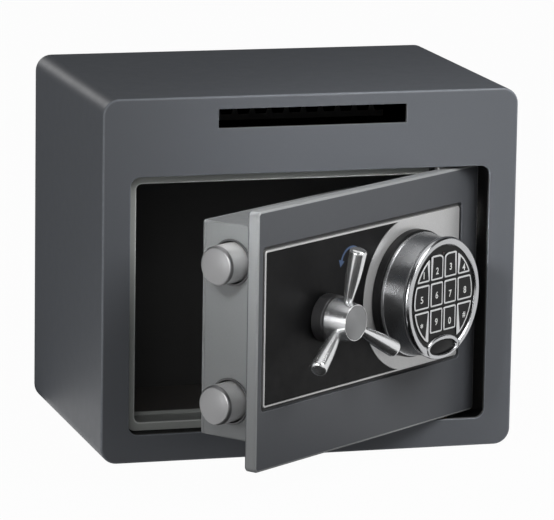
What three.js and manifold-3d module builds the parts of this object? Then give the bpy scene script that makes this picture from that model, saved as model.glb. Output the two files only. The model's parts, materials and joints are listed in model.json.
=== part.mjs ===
// A small deposit safe: a steel cabinet with a letter slot, and a hinged door that carries
// a bolt case, a three-spoke handle and a round push-button lock dial.
// Millimetres, +Z up. The origin is the centre of the cabinet's footprint, and the front faces -Y.

import * as THREE from 'three';
import { mergeVertices } from 'three/addons/utils/BufferGeometryUtils.js';
import Module from 'manifold-3d';

const wasm = await Module();
wasm.setup();

// Cabinet shell and back
const cabinetDepth = 210;
const shellWall = 2.5;
const frontWall = 3;
const backWall = 3;
const cabinetCornerRadius = 11.5;
const cabinetEdgeFillet = 1.6;
const backPanelGap = 0.2;
const anchorHoleRadius = 6;
const anchorInsetX = 50;
const anchorInsetY = 40;
const backAnchorInsetX = 60;
const backAnchorFromTop = 67;

// Door opening in the front wall
const openingSideRim = 20;
const openingSill = 20;
const openingCornerRadius = 6.5;
const openingChamfer = 0.8;

// Letter slot, its chute and the toothed baffle behind it
const slotWidth = 136;
const slotHeight = 13.5;
const slotFromTop = 9;
const chuteWall = 1.5;
const chuteSideRoom = 1;
const chuteFlatDepth = 30;
const chuteSlopeDepth = 26;
const chuteSlopeDrop = 20;
const chuteHeadRoom = 11;
const baffleThickness = 1.5;
const baffleSetback = 46;
const baffleToothCount = 11;
const baffleToothHeight = 9;
const baffleToothShare = 0.55;
const baffleTipRoom = 2;

// Folded jambs round the opening
const jambThickness = 2;
const jambFlange = 6.5;
const jambNoseFillet = 0.7;
const doorSeatGap = 1;
const sillDepth = 22;
const sillLipHeight = 2.3;
const jambHingeGap = 0.6;

// Door plate
const doorThickness = 9.3;
const doorFreeGap = 2.2;
const doorHingeGap = 4.5;
const doorTopGap = 1.75;
const doorCornerRadius = 3.5;
const doorEdgeFillet = 1.6;
const doorRestAngle = 36.3;

// Hinge: brackets and bushes in the cabinet, lugs and pins on the door
const pivotFromHingeEdge = 27.5;
const pivotDepth = 14;
const pinRadius = 4;
const pinChamfer = 0.6;
const pinShoulder = 3;
const pinBelowBracket = 2.5;
const bushWall = 2.2;
const bushFlangeWidth = 2.4;
const bushFlangeThickness = 1;
const runningGap = 0.35;
const bracketThickness = 4;
const bracketDepth = 36;
const bracketLeg = 34;
const bracketDrop = 0.5;
const lugWidth = 16;
const lugDepth = 11;
const lugHeight = 24;
const lugFromDoorEnd = 10;

// Gap that neighbouring pieces keep on the turned door
const seatGap = 0.3;

// Recessed fascia on the door
const recessLeft = 6;
const recessRight = 19.7;
const recessTop = 25;
const recessBelow = 41.1;
const dialRecessMargin = 11.4;
const recessDepth = 3;
const recessCornerRadius = 3;
const fasciaGroove = 2.4;
const fasciaCornerRadius = 2;
const fasciaThickness = 2.4;
const fasciaBorder = 1.4;
const panelPocketDepth = 1.4;
const panelThickness = 1;
const panelCornerRadius = 1.2;
const silverArcMargin = 9.5;

// Three-spoke handle
const handleFromFreeEdge = 76;
const handleDrop = 2.05;
const rosetteRadius = 16.8;
const rosetteHeight = 9;
const rosetteFillet = 1;
const hubFrontRadius = 12.5;
const hubBackRadius = 15.6;
const hubHeight = 16.5;
const hubFillet = 0.6;
const capRadius = 11.7;
const capPocketDepth = 1;
const capDome = 1.4;
const spokeCount = 3;
const spokeTipReach = 51;
const spokeConeAngle = 12.6;
const spokeSeatHeight = 9.3;
const spokeRootRadius = 3;
const spokeNeckLength = 18.6;
const spokeGripRadius = 5.6;
const spokeTipRadius = 6.1;
const spokeSeatDepth = 4.5;
const spokeTipFillet = 1.8;
const spindleRadius = 5;
const spindleInHub = 11;

// Crank on the inner end of the spindle
const handleTurnAngle = 75;
const boltThrow = 16;
const crankThickness = 6;
const crankHubRadius = 9;
const crankEyeRadius = 6;
const crankPinRadius = 3;
const crankToCarriage = 2;
const spindleBeyondCrank = 1;

// Bolt case behind the plate
const caseFromFreeEdge = 29.5;
const caseToLug = 12.8;
const caseAboveDoorEnd = 11.6;
const caseBelowDoorTop = 17.8;
const caseDepth = 58.3;
const caseWall = 2;
const coverThickness = 2;

// Live bolts and the channel that carries them
const boltRadius = 13.7;
const boltFromCaseEnd = 26.4;
const boltFromCaseBack = 22.9;
const boltShownAtRest = 19.7;
const boltEndFillet = 2.6;
const boltDome = 1.6;
const carriageLeft = 62;
const carriageWidth = 40;
const carriageBeyondBolt = 13.2;
const carriageSheet = 4;
const carriageFlangeDepth = 26;
const slotClearance = 0.5;
const boltScrewRadius = 3;
const boltScrewHeadRadius = 5;
const boltScrewHeadHeight = 3.6;
const boltScrewLength = 16;
const collarGap = 1.1;
const collarWall = 0.8;
const collarFlange = 0.6;
const collarStandOut = 0.9;

// Shouldered studs that guide the channel
const studRadius = 3;
const studCollarRadius = 5;
const studHeadHeight = 2.7;
const studFromFlange = 6.5;
const studInsideBolt = 16.8;

// Lock body, hard plate and lock bolt
const hardPlateThickness = 3;
const hardPlateMargin = 4;
const lockToCarriage = 10;
const lockBeyondCable = 6;
const lockBodyHeight = 84;
const lockBodyDepth = 38;
const lockBoltWidth = 16;
const lockBoltThickness = 8;
const lockBoltLength = 30;
const lockBoltShown = 8;
const lockBoltSetback = 24;
const cableRadius = 2.2;
const cableHoleRadius = 4;

// Push-button lock dial
const dialToSpoke = 1.7;
const dialToHingeEdge = 35;
const dialRise = 0.35;
const dialBaseStandOut = 3.6;
const dialBaseHeight = 6;
const dialBaseFillet = 0.8;
const dialLipStandOut = 2.4;
const dialLipHeight = 2;
const dialBarrelRadius = 41.2;
const dialBarrelFlare = 1.8;
const dialBarrelHeight = 15.1;
const dialRimInset = 1.3;
const dialRimTube = 3;
const dialRimFromBarrel = 3.2;
const dialFaceInset = 3;
const dialPocketDepth = 1.2;
const dialHousingWall = 2.5;
const dialFloorWall = 2.2;
const batteryWidth = 48;
const batteryHeight = 26;
const batteryRoom = 0.4;
const batteryDrop = 12;
const dialFaceThickness = 1.9;
const keyTravel = 0.8;
const keyProud = 0.8;
const keyFloorRoom = 0.35;
const keySideGap = 0.35;
const keyInnerShare = 0.4152;
const keyColumnGap = 1.7;
const keyRowShare = 0.4912;
const keyRowGap = 1.9;
const keyTopRowShare = 0.5088;
const keyMiddleRowShare = 0.1111;
const keyFieldInset = 2.7;
const keyCornerFillet = 1.3;
const keyLightRoom = 3.6;
const keyLightSlope = 2;
const lightRadius = 1.1;
const lightInset = 5.3;
const lightProud = 0.5;
const badgeWidthShare = 0.42;
const badgeHeightShare = 0.139;
const badgeInset = 2.3;
const badgeRimWidth = 2.6;
const badgeRimHeight = 4.2;
const badgeThickness = 3;
const badgeKeyRoom = 2;
const keyColumns = 4;
const rimStartAngle = -55;

// Floor mat
const matThickness = 3;
const matSideGap = 9.5;
const matEndGap = 0.6;
const matCornerRadius = 3;
const matHoleMargin = 3;

// Facet counts and the overrun that carries each cut past its faces
const cornerSteps = 4;
const edgeSteps = 2;
const largeFacets = 56;
const mediumFacets = 32;
const smallFacets = 20;
const rimSteps = 7;
const keyOutlineSteps = 6;
const keySearchSteps = 30;
const ovalSteps = 10;
const crankSteps = 8;
const sharpBendAngle = 25;
const cornerReachShare = 0.48;
const outlineTolerance = 0.13;
const straightTolerance = 0.0013;
const overrun = 1;

// Places worked out from the sizes
const frontY = -cabinetDepth / 2;
const backY = cabinetDepth / 2;
const dialBaseRadius = dialBarrelRadius + dialBaseStandOut;
const dialLipRadius = dialBarrelRadius + dialLipStandOut;
const dialRimRadius = dialBarrelRadius - dialRimInset;
const dialBarrelStart = dialBaseHeight + seatGap + dialLipHeight;
const dialRimHeight = dialBarrelStart + dialBarrelHeight + dialRimFromBarrel;
const dialPocketFloor = dialRimHeight - dialPocketDepth;
const dialFaceRadius = dialRimRadius - dialFaceInset;
const keyFieldRadius = dialFaceRadius - keyFieldInset;
const lightHeight = dialFaceRadius - lightInset;
const badgeDrop = dialFaceRadius - badgeInset;
const badgeHalfWidth = badgeWidthShare * dialFaceRadius;
const badgeHalfHeight = badgeHeightShare * dialFaceRadius;
const keyInnerWidth = keyInnerShare * keyFieldRadius;
const keyRowHeight = keyRowShare * keyFieldRadius;
const keyTopRowHeight = keyTopRowShare * keyFieldRadius;
const keyMiddleRowCentre = keyMiddleRowShare * keyFieldRadius;
const dialOuterRadius = dialBaseRadius;
const dialFromFreeEdge = handleFromFreeEdge + spokeTipReach + dialToSpoke + dialOuterRadius;
const doorWidth = dialFromFreeEdge + dialOuterRadius + dialToHingeEdge;
const recessHeight = 2 * (dialOuterRadius + dialRecessMargin);
const doorHeight = recessTop + recessHeight + recessBelow;
const openingWidth = doorFreeGap + doorWidth + doorHingeGap;
const openingHeight = doorHeight + 2 * doorTopGap;
const openingHead = slotFromTop + slotHeight + chuteSlopeDrop + chuteWall + chuteHeadRoom;
const cabinetWidth = openingWidth + 2 * openingSideRim;
const cabinetHeight = openingSill + openingHeight + openingHead;
const silverArcRadius = dialOuterRadius + silverArcMargin;
const openingLeft = -openingWidth / 2;
const openingRight = openingWidth / 2;
const openingTop = openingSill + openingHeight;
const jambY = frontY + doorThickness + doorSeatGap;
const doorLeft = openingLeft + doorFreeGap;
const doorRight = openingRight - doorHingeGap;
const doorBottom = openingSill + doorTopGap;
const doorTop = openingTop - doorTopGap;
const recessMiddle = doorTop - recessTop - recessHeight / 2;
const handleHeight = recessMiddle - handleDrop;
const dialHeight = recessMiddle + dialRise;
const pivotX = doorRight - pivotFromHingeEdge;
const pivotY = frontY + pivotDepth;
const plateBackY = frontY + doorThickness;
const bushOuter = pinRadius + runningGap + bushWall;
const jambEnd = pivotX - bushOuter - bushFlangeWidth - jambHingeGap;

const turn = (degrees) => THREE.MathUtils.degToRad(degrees);

// A geometry's triangles as a closed solid that faces outwards, with shared corners merged.
function solid(geometry) {
  const bare = new THREE.BufferGeometry();
  const loose = geometry.index ? geometry.toNonIndexed() : geometry;
  bare.setAttribute('position', loose.getAttribute('position').clone());
  const merged = mergeVertices(bare);
  const corners = merged.index.array;
  const places = merged.attributes.position.array;
  const kept = [];
  for (let i = 0; i < corners.length; i += 3) {
    const [a, b, c] = corners.slice(i, i + 3);
    if (a !== b && b !== c && c !== a) kept.push(a, b, c);
  }
  const at = (i) => new THREE.Vector3().fromArray(places, i * 3);
  let volume = 0;
  for (let i = 0; i < kept.length; i += 3) {
    volume += at(kept[i]).dot(at(kept[i + 1]).cross(at(kept[i + 2])));
  }
  if (volume < 0) kept.reverse();
  const mesh = new wasm.Mesh({
    numProp: 3,
    vertProperties: new Float32Array(places),
    triVerts: new Uint32Array(kept),
  });
  return new wasm.Manifold(mesh);
}

// The geometry of a solid, ready for a mesh.
function geometryOf(shape) {
  const mesh = shape.getMesh();
  const geometry = new THREE.BufferGeometry();
  const places = new THREE.BufferAttribute(new Float32Array(mesh.vertProperties), 3);
  geometry.setAttribute('position', places);
  geometry.setIndex(new THREE.BufferAttribute(new Uint32Array(mesh.triVerts), 1));
  const flat = geometry.toNonIndexed();
  flat.computeVertexNormals();
  return flat;
}

// A block between two limits on each axis.
function block(x0, x1, y0, y1, z0, z1) {
  const box = new THREE.BoxGeometry(x1 - x0, y1 - y0, z1 - z0);
  box.translate((x0 + x1) / 2, (y0 + y1) / 2, (z0 + z1) / 2);
  return solid(box);
}

// A rectangle with round corners, seen from the front: x to the right and z up.
function roundedRectangle(x0, x1, z0, z1, radius) {
  const shape = new THREE.Shape();
  shape.moveTo(x0 + radius, z0);
  shape.lineTo(x1 - radius, z0);
  shape.absarc(x1 - radius, z0 + radius, radius, -Math.PI / 2, 0);
  shape.lineTo(x1, z1 - radius);
  shape.absarc(x1 - radius, z1 - radius, radius, 0, Math.PI / 2);
  shape.lineTo(x0 + radius, z1);
  shape.absarc(x0 + radius, z1 - radius, radius, Math.PI / 2, Math.PI);
  shape.lineTo(x0, z0 + radius);
  shape.absarc(x0 + radius, z0 + radius, radius, Math.PI, Math.PI * 1.5);
  return shape;
}

// An outline seen from the front, carried from the depth y0 to y1, with its end edges rounded.
function throughDepth(shape, y0, y1, round = 0, steps = cornerSteps) {
  const geometry = new THREE.ExtrudeGeometry(shape, {
    depth: y1 - y0 - 2 * round,
    curveSegments: steps,
    bevelEnabled: round > 0,
    bevelThickness: round,
    bevelSize: round,
    bevelOffset: -round,
    bevelSegments: edgeSteps,
  });
  geometry.rotateX(Math.PI / 2);
  geometry.translate(0, y1 - round, 0);
  return solid(geometry);
}

// A side profile, with depth y across and height z up, carried from x0 to x1.
function alongWidth(points, x0, x1) {
  const shape = new THREE.Shape(points.map(([y, z]) => new THREE.Vector2(y, z)));
  const geometry = new THREE.ExtrudeGeometry(shape, { depth: x1 - x0, bevelEnabled: false });
  geometry.rotateY(Math.PI / 2);
  geometry.rotateX(Math.PI / 2);
  geometry.translate(x0, 0, 0);
  return solid(geometry);
}

// A profile of [radius, distance] turned about an axis, from a start point along a direction.
function turned(profile, start, direction, segments = mediumFacets) {
  const points = profile.map(([radius, along]) => new THREE.Vector2(radius, along));
  const geometry = new THREE.LatheGeometry(points, segments);
  const up = new THREE.Vector3(0, 1, 0);
  const along = direction.clone().normalize();
  geometry.applyQuaternion(new THREE.Quaternion().setFromUnitVectors(up, along));
  geometry.translate(start.x, start.y, start.z);
  return solid(geometry);
}

// A plain round bar.
function bar(radius, length, start, direction, segments = smallFacets) {
  return turned([[0, 0], [radius, 0], [radius, length], [0, length]], start, direction, segments);
}

// Points of a quarter round of a profile, from one angle to another about a centre.
function arcPoints(centreRadius, centreAlong, round, fromAngle, toAngle, steps = edgeSteps) {
  const points = [];
  for (let i = 0; i <= steps; i += 1) {
    const angle = turn(fromAngle + ((toAngle - fromAngle) * i) / steps);
    points.push([centreRadius + round * Math.cos(angle), centreAlong + round * Math.sin(angle)]);
  }
  return points;
}

// An outline whose sharp corners are softened by short curves.
function softOutline(points, round) {
  const corners = points.map(([x, z]) => new THREE.Vector2(x, z));
  const shape = new THREE.Shape();
  const count = corners.length;
  corners.forEach((corner, i) => {
    const before = corners[(i + count - 1) % count];
    const after = corners[(i + 1) % count];
    const back = before.clone().sub(corner);
    const ahead = after.clone().sub(corner);
    const bend = Math.PI - Math.abs(back.angleTo(ahead));
    const sharp = bend > turn(sharpBendAngle);
    const shorter = Math.min(back.length(), ahead.length());
    const reach = sharp ? Math.min(round, shorter * cornerReachShare) : 0;
    const entry = corner.clone().add(back.setLength(reach));
    const leave = corner.clone().add(ahead.setLength(reach));
    if (i === 0) shape.moveTo(entry.x, entry.y);
    else shape.lineTo(entry.x, entry.y);
    if (sharp) shape.quadraticCurveTo(corner.x, corner.y, leave.x, leave.y);
  });
  shape.closePath();
  return shape;
}

const outward = new THREE.Vector3(0, -1, 0);
const inward = new THREE.Vector3(0, 1, 0);
const upward = new THREE.Vector3(0, 0, 1);
const rightward = new THREE.Vector3(1, 0, 0);

// A point on the door, by distance from the free edge, height, and distance out from the front face.
function onDoor(fromFreeEdge, height, out) {
  return new THREE.Vector3(doorLeft + fromFreeEdge, frontY - out, height);
}

// Materials
function finish(color, roughness, metalness) {
  return new THREE.MeshStandardMaterial({ color, roughness, metalness });
}

const cabinetPaint = finish(0x5c5f63, 0.55, 0.3);
const doorPaint = finish(0x5f6266, 0.5, 0.3);
const jambPaint = finish(0x77797a, 0.45, 0.4);
const casePaint = finish(0x828486, 0.45, 0.5);
const brightSteel = finish(0xc4c6c8, 0.25, 1);
const mirrorChrome = finish(0xd8d9db, 0.12, 1);
const satinSilver = finish(0xa6a7a8, 0.35, 0.9);
const blackPlastic = finish(0x1e1e1f, 0.45, 0);
const keyPlastic = finish(0x141415, 0.4, 0);
const darkFelt = finish(0x1d1a17, 0.95, 0);
const bronze = finish(0x9c7a45, 0.4, 0.9);
const interiorPaint = finish(0x0d0d0e, 0.7, 0.1);
const darkZinc = finish(0x55585b, 0.4, 0.8);
const lampRed = finish(0x3a0d0d, 0.3, 0);

const safe = new THREE.Group();
const cabinet = new THREE.Group();
safe.add(cabinet);

// The door is modelled shut, then turned about the hinge line to the angle at which it stands.
const doorTurned = new THREE.Group();
doorTurned.position.set(pivotX, pivotY, 0);
doorTurned.rotation.z = turn(doorRestAngle);
safe.add(doorTurned);
const door = new THREE.Group();
door.position.set(-pivotX, -pivotY, 0);
doorTurned.add(door);

function place(group, name, shape, material) {
  const mesh = new THREE.Mesh(geometryOf(shape), material);
  mesh.name = name;
  group.add(mesh);
}

// Cabinet shell: a folded wrap with the front wall, the door opening, the letter slot and anchor holes
function makeShell() {
  const halfWidth = cabinetWidth / 2;
  const outline = roundedRectangle(-halfWidth, halfWidth, 0, cabinetHeight, cabinetCornerRadius);
  const insideHalf = halfWidth - shellWall;
  const insideTop = cabinetHeight - shellWall;
  const insideRadius = cabinetCornerRadius - shellWall;
  const inside = roundedRectangle(-insideHalf, insideHalf, shellWall, insideTop, insideRadius);
  let shell = throughDepth(outline, frontY, backY, cabinetEdgeFillet);
  shell = shell.subtract(throughDepth(inside, frontY + frontWall, backY + overrun));
  const openingSpan = [openingLeft, openingRight, openingSill, openingTop];
  const opening = roundedRectangle(...openingSpan, openingCornerRadius);
  shell = shell.subtract(throughDepth(opening, frontY - overrun, frontY + frontWall + overrun));
  shell = shell.subtract(openingBreak());
  const slotTop = cabinetHeight - slotFromTop;
  const slotLow = slotTop - slotHeight;
  const slotHalf = slotWidth / 2;
  const through = [frontY - overrun, frontY + frontWall + overrun];
  shell = shell.subtract(block(-slotHalf, slotHalf, ...through, slotLow, slotTop));
  return shell.subtract(anchorHoles(anchorHoleRadius, 0, shellWall));
}

// The four anchor holes in the floor, between two heights.
function anchorHoles(radius, low, high) {
  const bars = [];
  for (const side of [-1, 1]) {
    for (const end of [-1, 1]) {
      const x = side * (cabinetWidth / 2 - anchorInsetX);
      const y = end * (cabinetDepth / 2 - anchorInsetY);
      const start = new THREE.Vector3(x, y, low - overrun);
      bars.push(bar(radius, high - low + 2 * overrun, start, upward));
    }
  }
  return bars.reduce((all, one) => all.add(one));
}

// A chamfer that breaks the front edge of the opening: a flared ring-shaped cutter.
function openingBreak() {
  const reach = openingChamfer + overrun;
  const span = [openingLeft - reach, openingRight + reach, openingSill - reach, openingTop + reach];
  const flared = roundedRectangle(...span, openingCornerRadius + reach);
  const geometry = new THREE.ExtrudeGeometry(flared, {
    depth: reach,
    curveSegments: cornerSteps,
    bevelEnabled: true,
    bevelThickness: reach,
    bevelSize: reach,
    bevelOffset: -reach,
    bevelSegments: 1,
  });
  geometry.rotateX(Math.PI / 2);
  geometry.translate(0, frontY + openingChamfer - reach, 0);
  return solid(geometry);
}

function makeBackPanel() {
  const edge = shellWall + backPanelGap;
  const half = cabinetWidth / 2 - edge;
  const radius = cabinetCornerRadius - edge;
  const outline = roundedRectangle(-half, half, edge, cabinetHeight - edge, radius);
  let panel = throughDepth(outline, backY - backWall, backY);
  for (const side of [-1, 1]) {
    const x = side * (cabinetWidth / 2 - backAnchorInsetX);
    const start = new THREE.Vector3(x, backY - backWall - overrun, cabinetHeight - backAnchorFromTop);
    panel = panel.subtract(bar(anchorHoleRadius, backWall + 2 * overrun, start, inward));
  }
  return panel;
}

// Jambs: folded strips behind the front wall, whose flanges stop the door
function makeJambLeft() {
  const flangeEnd = openingLeft + jambFlange;
  const low = openingSill - jambThickness;
  const high = openingTop + jambThickness;
  const flange = roundedNose(openingLeft - jambThickness, flangeEnd, low, high);
  const across = [openingLeft - jambThickness, openingLeft];
  return flange.add(block(...across, frontY + frontWall, jambY + jambThickness, low, high));
}

// A flange whose right-hand edge is rounded at the front and back.
function roundedNose(x0, x1, z0, z1) {
  const n = jambNoseFillet;
  const y0 = jambY;
  const y1 = jambY + jambThickness;
  const shape = new THREE.Shape();
  shape.moveTo(x0, -y0);
  shape.lineTo(x1 - n, -y0);
  shape.lineTo(x1, -y0 - n);
  shape.lineTo(x1, -y1 + n);
  shape.lineTo(x1 - n, -y1);
  shape.lineTo(x0, -y1);
  shape.closePath();
  const geometry = new THREE.ExtrudeGeometry(shape, { depth: z1 - z0, bevelEnabled: false });
  geometry.rotateX(Math.PI);
  geometry.translate(0, 0, z1);
  return solid(geometry);
}

function makeJambTop() {
  const inner = openingTop - jambFlange;
  const high = openingTop + jambThickness;
  const n = jambNoseFillet;
  const y1 = jambY + jambThickness;
  const nose = [
    [jambY, high],
    [jambY, inner + n],
    [jambY + n, inner],
    [y1 - n, inner],
    [y1, inner + n],
    [y1, high],
  ];
  const flange = alongWidth(nose, openingLeft + jambFlange, jambEnd);
  const web = block(openingLeft, jambEnd, frontY + frontWall, jambY, openingTop, high);
  const fold = block(openingLeft + jambFlange, jambEnd, frontY + frontWall, y1, openingTop, high);
  return flange.add(web).add(fold);
}

// The sill is a folded channel: front flange, flat top, and a rear leg with a raised lip.
function makeSill() {
  const top = openingSill + jambFlange;
  const low = openingSill - jambThickness;
  const n = jambNoseFillet;
  const t = jambThickness;
  const rear = jambY + t + sillDepth;
  const profile = [
    [jambY, low],
    [jambY + t, low],
    [jambY + t, top - t],
    [rear - t, top - t],
    [rear - t, shellWall],
    [rear, shellWall],
    [rear, top + sillLipHeight],
    [rear - t, top + sillLipHeight],
    [rear - t, top],
    [jambY + n, top],
    [jambY, top - n],
  ];
  const channel = alongWidth(profile, openingLeft + jambFlange, jambEnd);
  const wallBack = frontY + frontWall;
  const web = block(openingLeft, jambEnd, wallBack, jambY, low, openingSill);
  const fold = block(openingLeft + jambFlange, jambEnd, wallBack, jambY + t, low, openingSill);
  return channel.add(web).add(fold);
}

// Chute: a floor that runs level and then slopes down, with a cheek on each side
function makeChute() {
  const low = cabinetHeight - slotFromTop - slotHeight;
  const half = slotWidth / 2 + chuteSideRoom;
  const start = frontY + frontWall;
  const knee = start + chuteFlatDepth;
  const end = knee + chuteSlopeDepth;
  const roof = cabinetHeight - shellWall;
  const floor = [
    [start, low],
    [knee, low],
    [end, low - chuteSlopeDrop],
    [end, low - chuteSlopeDrop - chuteWall],
    [knee, low - chuteWall],
    [start, low - chuteWall],
  ];
  const cheek = [
    [start, low - chuteWall],
    [knee, low - chuteWall],
    [end, low - chuteSlopeDrop - chuteWall],
    [end, roof],
    [start, roof],
  ];
  let chute = alongWidth(floor, -half, half);
  chute = chute.add(alongWidth(cheek, -half - chuteWall, -half));
  return chute.add(alongWidth(cheek, half, half + chuteWall));
}

// Baffle: a comb that hangs from the roof and stops fingers and hooks from reaching in
function makeBaffle() {
  const low = cabinetHeight - slotFromTop - slotHeight;
  const roof = cabinetHeight - shellWall;
  const half = slotWidth / 2 + chuteSideRoom - seatGap;
  const y0 = frontY + baffleSetback;
  const tip = low + baffleTipRoom;
  const root = tip + baffleToothHeight;
  const pitch = (2 * half) / baffleToothCount;
  const shape = new THREE.Shape();
  shape.moveTo(-half, roof);
  for (let i = 0; i < baffleToothCount; i += 1) {
    const left = -half + i * pitch;
    shape.lineTo(left, root);
    shape.lineTo(left + (pitch * (1 - baffleToothShare)) / 2, tip);
    shape.lineTo(left + (pitch * (1 + baffleToothShare)) / 2, tip);
  }
  shape.lineTo(half, root);
  shape.lineTo(half, roof);
  shape.closePath();
  return throughDepth(shape, y0, y0 + baffleThickness);
}

// Hinge bracket: a level plate with the bush hole, and a leg that stands on the side wall
function makeBracket(plateLow) {
  const side = cabinetWidth / 2 - shellWall;
  const holeRadius = bushOuter + seatGap;
  const x0 = jambEnd + seatGap;
  const y0 = frontY + frontWall;
  const y1 = y0 + bracketDepth;
  const plateHigh = plateLow + bracketThickness;
  const plate = block(x0, side, y0, y1, plateLow, plateHigh);
  const leg = block(side - bracketThickness, side, y0, y1, plateHigh, plateHigh + bracketLeg);
  const start = new THREE.Vector3(pivotX, pivotY, plateLow - overrun);
  const hole = bar(holeRadius, bracketThickness + 2 * overrun, start, upward, mediumFacets);
  return plate.add(leg).subtract(hole);
}

// Bush: a flanged bronze ring, its flange on the door's side of the bracket
function makeBush(plateLow, flangeUp) {
  const bore = pinRadius + runningGap;
  const outer = bushOuter;
  const sign = flangeUp ? 1 : -1;
  const face = flangeUp ? plateLow + bracketThickness : plateLow;
  const profile = [
    [bore, sign * bushFlangeThickness],
    [outer + bushFlangeWidth, sign * bushFlangeThickness],
    [outer + bushFlangeWidth, 0],
    [outer, 0],
    [outer, -sign * bracketThickness],
    [bore, -sign * bracketThickness],
    [bore, sign * bushFlangeThickness],
  ];
  return turned(profile, new THREE.Vector3(pivotX, pivotY, face), upward, smallFacets);
}

function makeMat() {
  const half = cabinetWidth / 2 - shellWall - matSideGap;
  const y0 = jambY + jambThickness + sillDepth + matEndGap;
  const y1 = backY - backWall - matEndGap;
  const outline = roundedRectangle(-half, half, y0, y1, matCornerRadius);
  const geometry = new THREE.ExtrudeGeometry(outline, {
    depth: matThickness,
    curveSegments: edgeSteps,
    bevelEnabled: false,
  });
  geometry.translate(0, 0, shellWall);
  const matTop = shellWall + matThickness;
  const holes = anchorHoles(anchorHoleRadius + matHoleMargin, shellWall, matTop);
  return solid(geometry).subtract(holes);
}

const topBracketLow = openingTop + jambThickness + bracketDrop;
const bottomBracketLow = openingSill - jambThickness - bracketDrop - bracketThickness;

place(cabinet, 'cabinet_shell', makeShell(), cabinetPaint);
place(cabinet, 'back_panel', makeBackPanel(), cabinetPaint);
place(cabinet, 'jamb_left', makeJambLeft(), jambPaint);
place(cabinet, 'jamb_top', makeJambTop(), jambPaint);
place(cabinet, 'jamb_sill', makeSill(), jambPaint);
place(cabinet, 'slot_chute', makeChute(), interiorPaint);
place(cabinet, 'anti_fish_baffle', makeBaffle(), interiorPaint);
place(cabinet, 'hinge_bracket_top', makeBracket(topBracketLow), darkZinc);
place(cabinet, 'hinge_bracket_bottom', makeBracket(bottomBracketLow), darkZinc);
place(cabinet, 'hinge_bush_top', makeBush(topBracketLow, false), bronze);
place(cabinet, 'hinge_bush_bottom', makeBush(bottomBracketLow, true), bronze);
place(cabinet, 'floor_mat', makeMat(), darkFelt);

// Door plate with its recess and the holes for the spindle and the cable
function makeDoorPlate() {
  const outline = roundedRectangle(doorLeft, doorRight, doorBottom, doorTop, doorCornerRadius);
  let plate = throughDepth(outline, frontY, plateBackY, doorEdgeFillet);
  const recess = fasciaOutline(0, recessCornerRadius);
  plate = plate.subtract(throughDepth(recess, frontY - overrun, frontY + recessDepth));
  plate = plate.subtract(doorHole(handleFromFreeEdge, handleHeight, spindleRadius + runningGap));
  return plate.subtract(doorHole(dialFromFreeEdge, dialHeight, cableHoleRadius));
}

// The fascia's outline, drawn in from the recess by a given amount.
function fasciaOutline(inset, radius) {
  const x0 = doorLeft + recessLeft + inset;
  const x1 = doorRight - recessRight - inset;
  const z1 = doorTop - recessTop - inset;
  const z0 = doorTop - recessTop - recessHeight + inset;
  return roundedRectangle(x0, x1, z0, z1, radius);
}

// A round hole right through the plate and what lies on it.
function doorHole(fromFreeEdge, height, radius) {
  const start = onDoor(fromFreeEdge, height, overrun);
  return bar(radius, doorThickness + 2 * overrun, start, inward);
}

const dialCentre = onDoor(dialFromFreeEdge, dialHeight, 0);

// The black panel's field: the fascia inside its border, bounded on the right by an arc round the dial.
function panelField(clearance, y0, y1) {
  const inset = fasciaGroove + fasciaBorder + clearance;
  let field = throughDepth(fasciaOutline(inset, panelCornerRadius), y0, y1);
  const radius = silverArcRadius + clearance;
  const start = new THREE.Vector3(dialCentre.x, y0 - overrun, dialCentre.z);
  field = field.subtract(bar(radius, y1 - y0 + 2 * overrun, start, inward, largeFacets));
  const span = [dialCentre.x, doorRight, y0 - overrun, y1 + overrun, doorBottom, doorTop];
  return field.subtract(block(...span));
}

function makeFasciaPlate() {
  const back = frontY + recessDepth - seatGap;
  const face = back - fasciaThickness;
  let plate = throughDepth(fasciaOutline(fasciaGroove, fasciaCornerRadius), face, back);
  plate = plate.subtract(panelField(0, face - overrun, face + panelPocketDepth));
  plate = plate.subtract(doorHole(handleFromFreeEdge, handleHeight, spindleRadius + runningGap));
  return plate.subtract(doorHole(dialFromFreeEdge, dialHeight, cableHoleRadius));
}

function makeFasciaPanel() {
  const fasciaFace = frontY + recessDepth - seatGap - fasciaThickness;
  const back = fasciaFace + panelPocketDepth - seatGap;
  const panel = panelField(seatGap, back - panelThickness, back);
  return panel.subtract(doorHole(handleFromFreeEdge, handleHeight, spindleRadius + runningGap));
}

// Lug: a block welded behind the plate, grooved for the hinge pin
function makeLug(low) {
  const y0 = plateBackY + seatGap;
  const across = [pivotX - lugWidth / 2, pivotX + lugWidth / 2];
  const lug = block(...across, y0, y0 + lugDepth, low, low + lugHeight);
  const start = new THREE.Vector3(pivotX, pivotY, low - overrun);
  return lug.subtract(bar(pinRadius + seatGap, lugHeight + 2 * overrun, start, upward));
}

// Hinge pin between two heights, with both ends chamfered and a shoulder between two others
function makePin(low, high, shoulderLow, shoulderHigh) {
  const c = pinChamfer;
  const length = high - low;
  const profile = [
    [0, 0],
    [pinRadius - c, 0],
    [pinRadius, c],
    [pinRadius, shoulderLow - low],
    [pinRadius + pinShoulder, shoulderLow - low],
    [pinRadius + pinShoulder, shoulderHigh - low],
    [pinRadius, shoulderHigh - low],
    [pinRadius, length - c],
    [pinRadius - c, length],
    [0, length],
  ];
  return turned(profile, new THREE.Vector3(pivotX, pivotY, low), upward, smallFacets);
}

const lugBottomLow = doorBottom + lugFromDoorEnd;
const lugTopLow = doorTop - lugFromDoorEnd - lugHeight;
const pinBottomLow = bottomBracketLow - pinBelowBracket;
const pinTopHigh = topBracketLow + bracketThickness + pinBelowBracket;

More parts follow.
